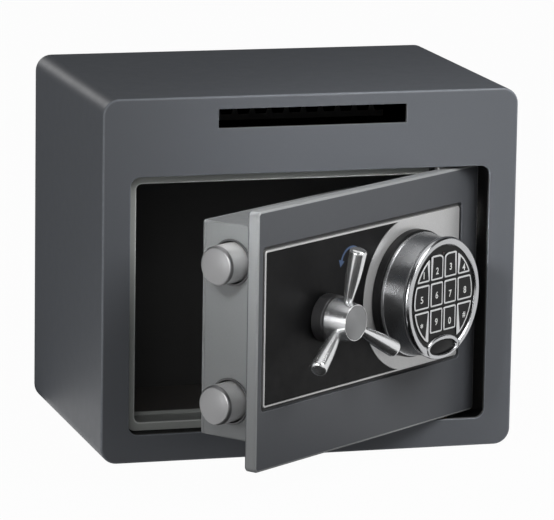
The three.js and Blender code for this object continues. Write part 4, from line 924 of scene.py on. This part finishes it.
def plate_holes():
    """The spindle's hole and the cable's hole through the door plate."""
    return [circle(HANDLE, SPINDLE_HOLE, 32), circle(DIAL, CABLE_HOLE, 32)]


def make_door_plate():
    """The door plate: a rounded outline with quarter-round edges, and a recess let into its face.
    Its sides and front edge are much lighter than its faces, a painted highlight, and smoother."""
    outline = box_outline((0, DOOR_BOTTOM), (DOOR_WIDTH, DOOR_TOP), DOOR_CORNER)
    back, floor, holes = -DOOR_THICKNESS, -RECESS_DEPTH, plate_holes()
    behind, ahead = both_edges(outline, back, 0, DOOR_EDGE)
    skin = Skin(DOOR).rows(behind, 0, 0.7).rows([behind[-1], ahead[0]], 1).rows(ahead, 1, 0.7)
    rim = [at_depth(recess(-setback), -inset) for inset, setback in quarter(RECESS_BREAK, 3)]
    skin.rows(rim, 0, 0.8).rows([rim[-1], at_depth(recess(), floor)])
    skin.cap(ahead[-1], [rim[0]]).flat(recess(), floor, holes, 2)
    skin.cap(behind[0], [at_depth(hole, back) for hole in holes])
    for hole in holes:
        skin.wall(hole, back, floor)
    skin.piece("door_leaf", "door", "door_paint", [DOOR_PAINT, DOOR_EDGE_PAINTED_HIGHLIGHT, INTERIOR], ["door_plate"])


def panel_field(clearance=0.0):
    """The black panel's field: the fascia inside its border, whose right side is an arc that stands
    off the dial by one radius. The arc's ends are where that circle meets the top and the bottom."""
    inset = FASCIA_GROOVE + FASCIA_BORDER + clearance
    radius = SILVER_ARC + clearance
    (left, low), top = np.array(RECESS_LOW) + inset, RECESS_HIGH[1] - inset
    high_end, low_end = math.asin((top - DIAL[1]) / radius), math.asin((low - DIAL[1]) / radius)
    right_side = arc(DIAL, (radius, radius), math.pi - np.linspace(low_end, high_end, 41))
    left_side = softened([(DIAL[0], top), (left, top), (left, low), (DIAL[0], low)], PANEL_CORNER, 4)
    return np.concatenate([right_side, left_side[5:-5]])


def make_fascia_plate():
    """The silver fascia: a plate with a pocket whose wall follows the black panel's field, and with
    the cable's hole in its face."""
    face, back, floor = FASCIA_FACE, FASCIA_BACK, POCKET_FLOOR
    field, (spindle, cable) = panel_field(), plate_holes()

    def outline(inset):
        return recess(FASCIA_GROOVE + inset, FASCIA_CORNER - inset)

    ahead = rounded_edge(outline, face, -1, FASCIA_EDGE, 3)
    skin = Skin(DOOR).rows([at_depth(outline(0), back), ahead[0]]).rows(ahead, 0, 0.5)
    skin.cap(ahead[-1], [at_depth(field, face), at_depth(cable, face)]).wall(field, face, floor)
    skin.flat(field, floor, [spindle]).flat(outline(0), back, [spindle, cable])
    skin.wall(spindle, back, floor).wall(cable, back, face)
    skin.piece("fascia_frame", "door", "satin_silver", [SATIN_SILVER], ["fascia_plate"])


def make_fascia_panel():
    """The black panel: its field carried forwards, with a small quarter round in front."""
    ahead = rounded_edge(lambda inset: panel_field(SEAT + inset), PANEL_FACE, -1, PANEL_EDGE, 3)
    field, hole = panel_field(SEAT), plate_holes()[0]
    skin = Skin(DOOR).rows([at_depth(field, PANEL_BACK), ahead[0]]).rows(ahead, 0, 0.3)
    skin.cap(ahead[-1], [at_depth(hole, PANEL_FACE)]).flat(field, PANEL_BACK, [hole])
    skin.wall(hole, PANEL_BACK, PANEL_FACE)
    skin.piece("fascia_field", "door", "black_plastic", [BLACK_PANEL], ["fascia_panel"])


def make_arrow():
    """A curved arrow for the handle's way of turning: a band between two arcs about one middle, and
    a head that points along the arc's end."""
    middle, (length, half) = np.array(ARROW_MIDDLE), ARROW_HEAD
    ray = arc((0, 0), (1, 1), np.radians(np.linspace(*ARROW_ENDS, 33)))
    outer = middle + (ARROW_RADIUS + ARROW_HALF) * ray
    inner = middle + (ARROW_RADIUS - ARROW_HALF) * ray
    onward = np.array([-ray[-1, 1], ray[-1, 0]])
    end = middle + ARROW_RADIUS * ray[-1]
    head = [end + half * ray[-1], end + length * onward, end - half * ray[-1]]
    loop = np.concatenate([outer, head, inner[::-1]])
    low, high = PANEL_FACE - INK_DEPTH, PANEL_FACE + INK_DEPTH
    skin = Skin(DOOR).wall(loop, low, high).flat(loop, low).flat(loop, high)
    skin.piece("turn_arrow", "door", "black_plastic", [ARROW_INK])


def make_case():
    """The bolt case: a rounded tube open at the plate and behind, with a round hole for each bolt's
    collar in its left wall."""
    low, _, high = DOOR.span("bolt_case")
    steps, (back, front) = 5, (low[2], high[2])
    outer = rounded_box(low, high, 0, CASE_CORNER, steps)
    inner = rounded_box(low, high, CASE_WALL, CASE_INNER_CORNER, steps)
    left = [side_gap(2, steps)]
    skin = Skin(DOOR).wall(outer, back, front, leave=left)
    skin.rows([at_depth(outer, front), at_depth(inner, front)])
    skin.wall(inner, front, back, leave=left)
    skin.rows([at_depth(inner, back), at_depth(outer, back)])
    spots = [DOOR.span(node)[1][[2, 1]] for node in ("bolt_collar_upper", "bolt_collar_lower")]
    rings = [circle(spot, COLLAR_OUTER + SEAT, 96) for spot in spots]

    wall = low[0] + CASE_WALL
    for right, margin in ((low[0], CASE_CORNER), (wall, CASE_WALL + CASE_INNER_CORNER)):
        z0, z1 = low[1] + margin, high[1] - margin
        corners = np.array([(front, z0), (front, z1), (back, z1), (back, z0)])
        skin.cap(at_right(corners, right), [at_right(ring, right) for ring in rings])
    for ring in rings:
        skin.rows([at_right(ring, low[0]), at_right(ring, wall)])
    skin.piece("bolt_housing", "door", "case_paint", [CASE_PAINT], ["bolt_case"])


def make_cover():
    """The case's rear cover: a rounded plate held by six socket screws with rounded heads."""
    low, _, high = DOOR.span("case_cover")
    outline = box_outline(low, high, CASE_CORNER, 4)
    skin = Skin(DOOR).plate(outline, low[2], high[2], COVER_EDGE)
    skin.piece("case_back_cover", "door", "case_paint", [CASE_PAINT], ["case_cover"])
    across, depth = SCREW_SOCKET
    head = disc(0, *SCREW_HEAD, [0, 0, 1.1, 0], 5)[:-7]
    near, far, mouth = low + SCREW_INSET, high - SCREW_INSET, low[2] - SCREW_HEAD[1]
    spots = [(x, z) for x in (near[0], (near[0] + far[0]) / 2, far[0]) for z in (near[1], far[1])]
    for number, spot in enumerate(spots, 1):
        rings, socket = lathe(head, (*spot, low[2]), (0, 0, -1), 48), circle(spot, across, 6)
        screw = Skin(DOOR).rows(rings).cap(rings[-1], [at_depth(socket, mouth)])
        screw.wall(socket, mouth, mouth + depth).flat(socket, mouth + depth)
        screw.piece(f"cover_screw_{number}", "door", "zinc_steel", [ZINC])


def make_collar(node):
    """A bolt's collar: a sleeve through the case's wall with a thin flange outside."""
    low, middle, high = DOOR.span(node)
    bore, outer, flange, depth = COLLAR_BORE, COLLAR_OUTER, COLLAR_FLANGE, high[0] - low[0]
    lip = [(bore, 0), (flange, 0), (flange, COLLAR_STAND), (outer, COLLAR_STAND)]
    profile = softened([*lip, (outer, depth), (bore, depth)], [0.3, 0.3, 0.05, 0.05, 0.1, 0.1], 4, True)
    look = ("door", "bright_steel", COLLAR_STEEL, node, (1, 0, 0))
    turned(f"{node}_ring", DOOR, profile, (low[0], *middle[1:]), *look, ring=True)


def make_bolt(node):
    """A live bolt: a bar whose nose is a parabola of the distance from its axis inside a broad
    quarter round, and whose rear end is bored for its screw."""
    low, middle, high = DOOR.span(node)
    share, edge = np.linspace(0, 1, 9), BOLT_EDGE
    flat = BOLT_RADIUS - edge
    face = np.stack([flat * share, BOLT_DOME * share**2], 1)
    nose = arc((flat, BOLT_DOME + edge), (edge, edge), np.linspace(-math.pi / 2, 0, 13))
    length, (bore, depth) = high[0] - low[0], BOLT_TAP
    rear = [(BOLT_RADIUS, length), (bore, length), (bore, length - depth), (0, length - depth)]
    front = np.concatenate([face, nose[1:]])
    place = ((low[0], *middle[1:]), (1, 0, 0), 144)
    # The bar takes the near-white steel, a painted highlight; the nose a darker satin steel.
    skin = Skin(DOOR).rows(lathe(front, *place), 1).rows(lathe([front[-1], *rear], *place))
    skin.piece(f"{node}_bar", "bolts", "bright_steel", [STEEL_PAINTED_HIGHLIGHT, BOLT_NOSE], [node])


make_door_plate()
make_fascia_plate()
make_fascia_panel()
make_arrow()
make_case()
make_cover()
for node in ("bolt_collar_upper", "bolt_collar_lower"):
    make_collar(node)
for node in ("bolt_upper", "bolt_lower"):
    make_bolt(node)
for node in ("hinge_lug_top", "hinge_lug_bottom"):
    eased(node, "door", DOOR_PAINT, 0.8)
make_pin("hinge_pin_top", TOP_SHOULDER)
make_pin("hinge_pin_bottom", BOTTOM_SHOULDER)


# Handle


def make_rosette():
    """The collar behind the hub: a bored disc with a rounded front edge."""
    profile = disc(SPINDLE_HOLE, *ROSETTE, [0, 0.2, ROSETTE_EDGE, 0.2], 6, closed=True)
    look = ("door", "black_plastic", BLACK_PLASTIC, "handle_rosette")
    turned("handle_collar", DOOR, profile, (*HANDLE, 0), *look, ring=True)


def make_hub():
    """The hub: a cone that narrows towards the front, bored behind and hollowed for the cap."""
    low, _, high = DOOR.span("handle_hub")
    height, (bore, depth), (mouth, pocket) = high[2] - low[2], HUB_BORE, CAP_POCKET
    corners = [(0, depth), (bore, depth), (bore, 0), (HUB_BACK, 0), (HUB_FRONT, height)]
    corners += [(mouth, height), (mouth, height - pocket), (0, height - pocket)]
    profile = softened(corners, [0, 0, 0.3, 0.5, 0.3, 0.15, 0.1, 0], 6)
    turned("hub_barrel", DOOR, profile, (*HANDLE, low[2]), "handle", "chrome", CHROME, "handle_hub")


def make_cap():
    """The cap: a disc whose front rises towards its middle as share (2 - share)."""
    low, _, high = DOOR.span("handle_cap")
    edge, share = high[2] - low[2] - CAP_DOME, np.linspace(0, 1, 14)
    top = np.stack([CAP_RADIUS * (1 - share), edge + CAP_DOME * share * (2 - share)], 1)
    profile = np.concatenate([[(0, 0), (CAP_RADIUS, 0)], top])
    turned("hub_cap", DOOR, profile, (*HANDLE, low[2]), "handle", "satin_silver", SATIN_CAP, "handle_cap")


def make_spoke(node, around):
    """A spoke turned about its own leaning axis: a neck that widens evenly, a grip that widens
    slowly, with a long ease between them, and a rounded nose."""
    lean, way = math.radians(SPOKE_LEAN), math.radians(around)
    outward = np.array([math.cos(way), math.sin(way), 0])
    direction = outward * math.cos(lean) + np.array([0, 0, math.sin(lean)])
    start = np.array([*HANDLE, SPOKE_START]) + outward * SPOKE_RADIUS - direction * SPOKE_SEAT
    length = SPOKE_SEAT + (SPOKE_REACH - SPOKE_RADIUS) / math.cos(lean)
    neck = [(0, 0), (SPOKE_ROOT, 0), (SPOKE_ROOT, SPOKE_SEAT), (SPOKE_GRIP, SPOKE_SEAT + SPOKE_NECK)]
    bend = SPOKE_EASE / (math.atan((SPOKE_GRIP - SPOKE_ROOT) / SPOKE_NECK) / 2)
    profile = softened([*neck, (SPOKE_TIP, length), (0, length)], [0, 0, 2, bend, SPOKE_NOSE, 0], 12)
    turned(f"{node}_grip", DOOR, profile, start, "handle", "chrome", CHROME, node, direction, 96)


make_rosette()
make_hub()
make_cap()
for node, around in (("spoke_top", 90), ("spoke_left", 210), ("spoke_right", 330)):
    make_spoke(node, around)


# Dial


def badge_oval(grow, turns=128):
    """An oval round the badge, grown all round."""
    return oval(BADGE, BADGE_HALF + grow, turns)


def make_dial_base():
    """The dial's foot: a low disc with a rounded front edge."""
    profile = disc(0, *DIAL_BASE, [0, 0.2, DIAL_BASE_EDGE, 0], 5)
    turned("dial_foot", DOOR, profile, (*DIAL, 0), "door", "black_plastic", DIAL_BLACK, "keypad_base")


def make_housing():
    """The dial's housing: a turned cup with a lip at its foot, a barrel that narrows towards the
    front, a rolled rim and a floor that carries the face. Inside the badge's oval the rim sinks to
    the floor, by a smooth step of the distance outside that oval."""
    (lip, lip_end), (cavity, cavity_end) = DIAL_LIP, DIAL_CAVITY
    pocket, floor = DIAL_POCKET
    foot = [(0, cavity_end), (cavity, cavity_end), (cavity, DIAL_FOOT), (lip, DIAL_FOOT), (lip, lip_end)]
    roll = arc(DIAL_RIM, (DIAL_RIM_TUBE, DIAL_RIM_TUBE), np.radians(np.linspace(*DIAL_RIM_ENDS, 37)))
    lower = softened([*foot, *DIAL_BARREL, roll[0]], [0, 0.4, 0.2, 0.3, 0.2, 0.2, 0.5, 0], 4)
    profile = np.concatenate([lower, roll[1:], [(pocket, floor), (0, floor)]])
    grid = lathe(profile, (*DIAL, 0), turns=224)
    half = BADGE_HALF + BADGE_RING[0] / 2
    outside = (np.linalg.norm((grid[..., :2] - BADGE) / half, axis=-1) - 1) * half[1]
    step = np.clip(outside / 0.9, 0, 1)
    rise = step * step * (3 - 2 * step)
    above = grid[..., 2] > floor
    grid[..., 2] = np.where(above, floor + (grid[..., 2] - floor) * rise, grid[..., 2])
    cut, finishes = len(lower), [DARK_CHROME, RING_CHROME]
    skin = Skin(DOOR).rows(grid[:cut]).rows(grid[cut - 1 :], 1)
    skin.piece("dial_housing", "door", "chrome", finishes, ["keypad_housing"], sharp=50)

    width, height = BADGE_RING
    low, high = floor - 0.4, floor + height
    section = softened([(0, low), (0, high), (width, high), (width, low)], [0, 1.3, 1.9, 0], 8)
    loops = [at_depth(badge_oval(grow), out) for grow, out in section]
    Skin(DOOR).rows([*loops, loops[0]]).piece("badge_rim", "door", "chrome", [RING_CHROME])


def make_badge():
    """The bare badge: an oval plate, domed as a parabola of the distance from its middle."""
    low, _, high = DOOR.span("keypad_badge")
    top, half = high[2] - BADGE_DOME, BADGE_HALF - SEAT / 2
    sizes = [(1, low[2]), (1, top - BADGE_EDGE)]
    sizes += [(s, top + BADGE_DOME * (1 - s * s)) for s in np.linspace(1, 0, 12)]
    loops = [at_depth(oval(BADGE, half * size, 96), out) for size, out in sizes]
    skin = Skin(DOOR).cap(loops[0]).rows(loops)
    skin.piece("badge_plate", "door", "black_plastic", [KEY_PLASTIC], ["keypad_badge"])


def key_outline(node):
    """The outline of a key: the corners of its front face in order of their angle about the middle
    of the box they span, with each corner rounded."""
    points = DOOR.points(node)
    front = points[points[:, 2] > points[:, 2].max() - 0.05][:, :2]
    middle = (front.min(0) + front.max(0)) / 2
    front = np.unique(np.round(front, 3), axis=0)
    order = np.argsort(np.arctan2(*(front - middle).T[::-1]))
    return softened(front[order], 0.35, 3, closed=True)


# How far up each key the middle of its sign stands, and the two signs whose names are words
KEYS = {"1": 0.34, "2": 0.36, "3": 0.41, "4": 0.29, "5": 0.41, "6": 0.47, "7": 0.4, "8": 0.4}
KEYS.update({"star": 0.57, "9": 0.46, "0": 0.37, "hash": 0.59})
SIGNS = {"star": ("*", 0.7), "hash": ("#", 0.85)}


def sign_mesh(name, sign):
    """A sign as a flat mesh of its own, one unit high, thin, and lying across its axis."""
    text = bpy.data.curves.new(name, "FONT")
    text.body, text.extrude, text.offset, text.resolution_u = sign, 0.01, SIGN_BOLD, 6
    holder = in_scene(name, text)
    bpy.context.view_layer.update()
    depsgraph = bpy.context.evaluated_depsgraph_get()
    mesh = bpy.data.meshes.new_from_object(holder.evaluated_get(depsgraph))
    bpy.data.objects.remove(holder)
    mesh.materials.clear()
    return mesh


def make_key(name, share):
    """A key: its outline carried forwards to a rounded edge, a silver band and a black field, with
    its sign printed on the field."""
    node = f"key_{name}"
    outline = key_outline(node)
    low, _, high = DOOR.span(node)
    back, face = low[2], high[2]
    edge = [at_depth(outline, face - KEY_EDGE)]
    for inset, setback in quarter(KEY_EDGE, 3)[1:]:
        edge.append(at_depth(drawn_in(outline, inset), face - setback))
    field = drawn_in(outline, KEY_EDGE + KEY_BAND)
    skin = Skin(DOOR).flat(outline, back).wall(outline, back, face - KEY_EDGE).rows(edge, 1)
    skin.rows([edge[-1], at_depth(field, face)], 1).flat(field, face)
    skin.piece(f"key_cap_{name}", node, "key_plastic", [KEY_PLASTIC, KEY_SILVER], [node])

    sign, part = SIGNS.get(name, (name, 1))
    mesh = sign_mesh(f"sign_{name}", sign)
    points = corners_of(mesh)
    points[:, :2] -= (points[:, :2].min(0) + points[:, :2].max(0)) / 2
    points[:, :2] *= SIGN_HEIGHT * part / np.ptp(points[:, 1])
    middle = (outline.min(0) + outline.max(0)) / 2
    up = outline[:, 1].min() + share * np.ptp(outline[:, 1])
    raised = face + INK_DEPTH * np.sign(points[:, 2])
    placed = np.column_stack([points[:, 0] + middle[0], points[:, 1] + up, raised])
    mesh.vertices.foreach_set("co", DOOR.place(placed).astype(np.float32).ravel())
    merge(mesh)
    stand(f"key_sign_{name}", mesh, node, [WHITE_INK])


def make_face():
    """The dial's face: a disc with a pocket for each key and a hole for the light, cut off below by
    the badge's ring."""
    low, _, high = DOOR.span("keypad_face")
    rim = circle(DIAL, DIAL_FACE, 160)
    holes = [grown(key_outline(f"key_{name}"), KEY_GAP) for name in KEYS]
    holes.append(circle(DOOR.middle("status_light"), LIGHT_HOLE, 24))
    back, front = low[2], high[2]
    skin = Skin(DOOR).wall(rim, back, front).flat(rim, front, holes).flat(rim, back, holes)
    for hole in holes:
        skin.wall(hole, back, front)
    skin.piece("dial_face", "door", "key_plastic", [KEY_PLASTIC], ["keypad_face"])


def make_light():
    """The status light: a small lens, domed as a quarter of an oval."""
    low, middle, high = DOOR.span("status_light")
    dome_start = (0, high[2] - low[2] - LIGHT_DOME)
    dome = arc(dome_start, (LIGHT_RADIUS, LIGHT_DOME), np.linspace(0, math.pi / 2, 7))
    profile = np.concatenate([[(0, 0), (LIGHT_RADIUS, 0)], dome])
    look = ("door", "lamp_red", LAMP, "status_light")
    turned("light_lens", DOOR, profile, (*middle[:2], low[2]), *look, turns=32)


make_dial_base()
make_housing()
make_face()
make_badge()
make_light()
for name, share in KEYS.items():
    make_key(name, share)

# The solids that stay, and their finishes
KEPT = {
    # The chute and baffle are near black as a painted shade inside the letter slot.
    SLOT_PAINTED_SHADE: "slot_chute anti_fish_baffle",
    SATIN_SILVER: "lock_body lock_bolt",
    BLACK_PLASTIC: "keypad_cable",
    ZINC: "hard_plate keypad_battery handle_spindle handle_crank bolt_carriage bolt_screw_upper "
    "bolt_screw_lower guide_stud_upper guide_stud_lower",
}
for finish, names in KEPT.items():
    for name in names.split():
        for place in frame["nodes"][name].material_slots:
            place.material = finish


# Floor, light and camera

AMBIENT = 0.13
FLOOR_SIZE = 6.0
FLOOR_WHITE = 0.975
AIM = (0, 0, 0.12)

# The camera's place in millimetres, its yaw, pitch and roll in degrees, its focal length and frame
# width in pixels, and its sensor in millimetres
CAMERA_PLACE = (-842.8, -2942.7, 728.5)
CAMERA_TURN = (16.081, -11.262, 0.899)
CAMERA_FOCAL = 4323.6
FRAME_WIDTH = 554
SENSOR = 36


def background_rays(tree):
    """One where the ray is a camera, glossy or transmission ray, and zero elsewhere."""
    path = tree.nodes.new("ShaderNodeLightPath")
    total = path.outputs["Is Camera Ray"]
    for kind in ("Is Glossy Ray", "Is Transmission Ray"):
        node = tree.nodes.new("ShaderNodeMath")
        node.operation = "MAXIMUM"
        feed(node.inputs[0], total)
        feed(node.inputs[1], path.outputs[kind])
        total = node.outputs[0]
    return total


def make_world():
    """An even grey light, which looks white to the camera and in reflections."""
    world = bpy.data.worlds.new("studio")
    bpy.context.scene.world = world
    world.use_nodes = True
    tree = world.node_tree
    strength = tree.nodes.new("ShaderNodeMapRange")
    give(strength, Value=background_rays(tree), To_Min=AMBIENT)
    give(tree.nodes["Background"], Color=(1, 1, 1, 1), Strength=strength.outputs["Result"])


def studio_piece(name, points, faces, colour):
    """A part of the studio: its mesh in metres, and a matt material of one colour."""
    mesh = bpy.data.meshes.new(name)
    mesh.from_pydata(np.asarray(points, float).tolist(), [], faces)
    piece = in_scene(name, mesh)
    matt = Finish(f"{name}_matt", colour, Base_Color=colour, Roughness=0.9, Specular_IOR_Level=0.0)
    mesh.materials.append(matt.material)
    return piece, matt


def make_floor():
    """A pale floor: it takes the safe's shadow, and shows as near white to the camera."""
    x, y = np.array([-1, 1, 1, -1]) * FLOOR_SIZE, np.array([-1, -1, 1, 1]) * FLOOR_SIZE
    corners = np.stack([x, y, np.full(4, -0.0002)], 1)
    _, floor = studio_piece("studio_floor", corners, [(0, 1, 2, 3)], (0.4, 0.4, 0.4, 1))
    share = floor.node("MapRange", Value=background_rays(floor.tree), To_Max=FLOOR_WHITE)
    mix = floor.node("MixShader", Fac=share.outputs["Result"])
    feed(mix.inputs[1], floor.shader.outputs["BSDF"])
    feed(mix.inputs[2], floor.node("Emission").outputs["Emission"])
    give(floor.tree.nodes["Material Output"], Surface=mix.outputs["Shader"])


def make_dark_screen(name, radius, angles, heights):
    """A dark curved screen that only reflections see, so that bright metal has dark bands: points
    at a radius about the safe, from one angle and height to another."""
    angle, height = np.meshgrid(np.radians(np.linspace(*angles, 25)), heights, indexing="ij")
    reach = np.broadcast_to(radius, angle.shape)
    points = np.stack([reach * np.cos(angle), reach * np.sin(angle), height], -1).reshape(-1, 3)
    first = np.arange(24) * 2
    faces = np.stack([first, first + 2, first + 3, first + 1], 1).tolist()
    screen, _ = studio_piece(name, points, faces, (0.012, 0.012, 0.012, 1))
    screen.visible_camera = screen.visible_diffuse = screen.visible_shadow = False


def make_softbox(name, place, size, power, diffuse=True, glossy=True, aim=AIM):
    """A square area light at a place, turned to face a point, which matt surfaces, reflections or
    both see."""
    light = bpy.data.lights.new(name, "AREA")
    light.size, light.energy = size, power
    holder = in_scene(name, light)
    holder.location = place
    holder.rotation_euler = (Vector(aim) - Vector(place)).to_track_quat("-Z", "Y").to_euler()
    holder.visible_camera, holder.visible_diffuse, holder.visible_glossy = False, diffuse, glossy
    return light


def make_camera():
    """The camera, from its place and its yaw, pitch and roll: it looks along (sin yaw cos pitch,
    cos yaw cos pitch, sin pitch), and its lens is its focal length in frame widths times 36 mm."""
    yaw, pitch, roll = np.radians(CAMERA_TURN).tolist()
    ahead = Vector((math.sin(yaw) * math.cos(pitch), math.cos(yaw) * math.cos(pitch), math.sin(pitch)))
    right = Vector((math.cos(yaw), -math.sin(yaw), 0))
    up = right.cross(ahead)
    right_rolled = right * math.cos(roll) + up * math.sin(roll)
    up_rolled = up * math.cos(roll) - right * math.sin(roll)
    data = bpy.data.cameras.new("camera")
    data.sensor_width, data.clip_end = SENSOR, 50
    data.lens = CAMERA_FOCAL / FRAME_WIDTH * SENSOR
    camera = in_scene("camera", data)
    turn = Matrix((right_rolled, up_rolled, -ahead)).transposed().to_4x4()
    camera.matrix_world = Matrix.Translation(Vector(CAMERA_PLACE) * MM) @ turn
    bpy.context.scene.camera = camera


make_world()
make_floor()
make_dark_screen("dark_floor_near", (0.15, 0.75), (238, 300), (0, 0))
make_dark_screen("dark_floor_behind", (0.15, 2.4), (50, 150), (0, 0))
make_dark_screen("dark_screen_behind", 2.4, (25, 155), (0, 4))
make_dark_screen("dark_screen_front", 2.4, (242, 264), (0, 4))
make_dark_screen("dark_screen_left", 2.4, (155, 242), (1.1, 4))
make_dark_screen("dark_screen_right", 2.4, (264, 385), (1.1, 4))
make_softbox("key_softbox", (0.42, -0.56, 0.66), 0.4, 4.2, aim=(0.1, -0.05, 0.34))
make_softbox("side_softbox", (-1.8, -0.1, 0.4), 0.8, 8.5, glossy=False)
make_softbox("top_softbox", (-0.2, 0.1, 1.6), 0.8, 0.12)
make_softbox("fill_softbox", (-0.9, -1.9, 0.7), 1.0, 5, glossy=False)
make_softbox("streak_softbox", (-1.0, -1.1, 0.4), 0.5, 8, diffuse=False)
make_softbox("glow_softbox", (-0.7, 2.05, 0.85), 0.6, 5, diffuse=False)
edge = make_softbox("edge_softbox", (-0.3, -0.46, 0.4), 0.1, 0.11, glossy=False, aim=(-0.05, -0.24, 0.23))
edge.spread = math.radians(40)
make_camera()
bpy.context.scene.view_settings.view_transform = "Standard"
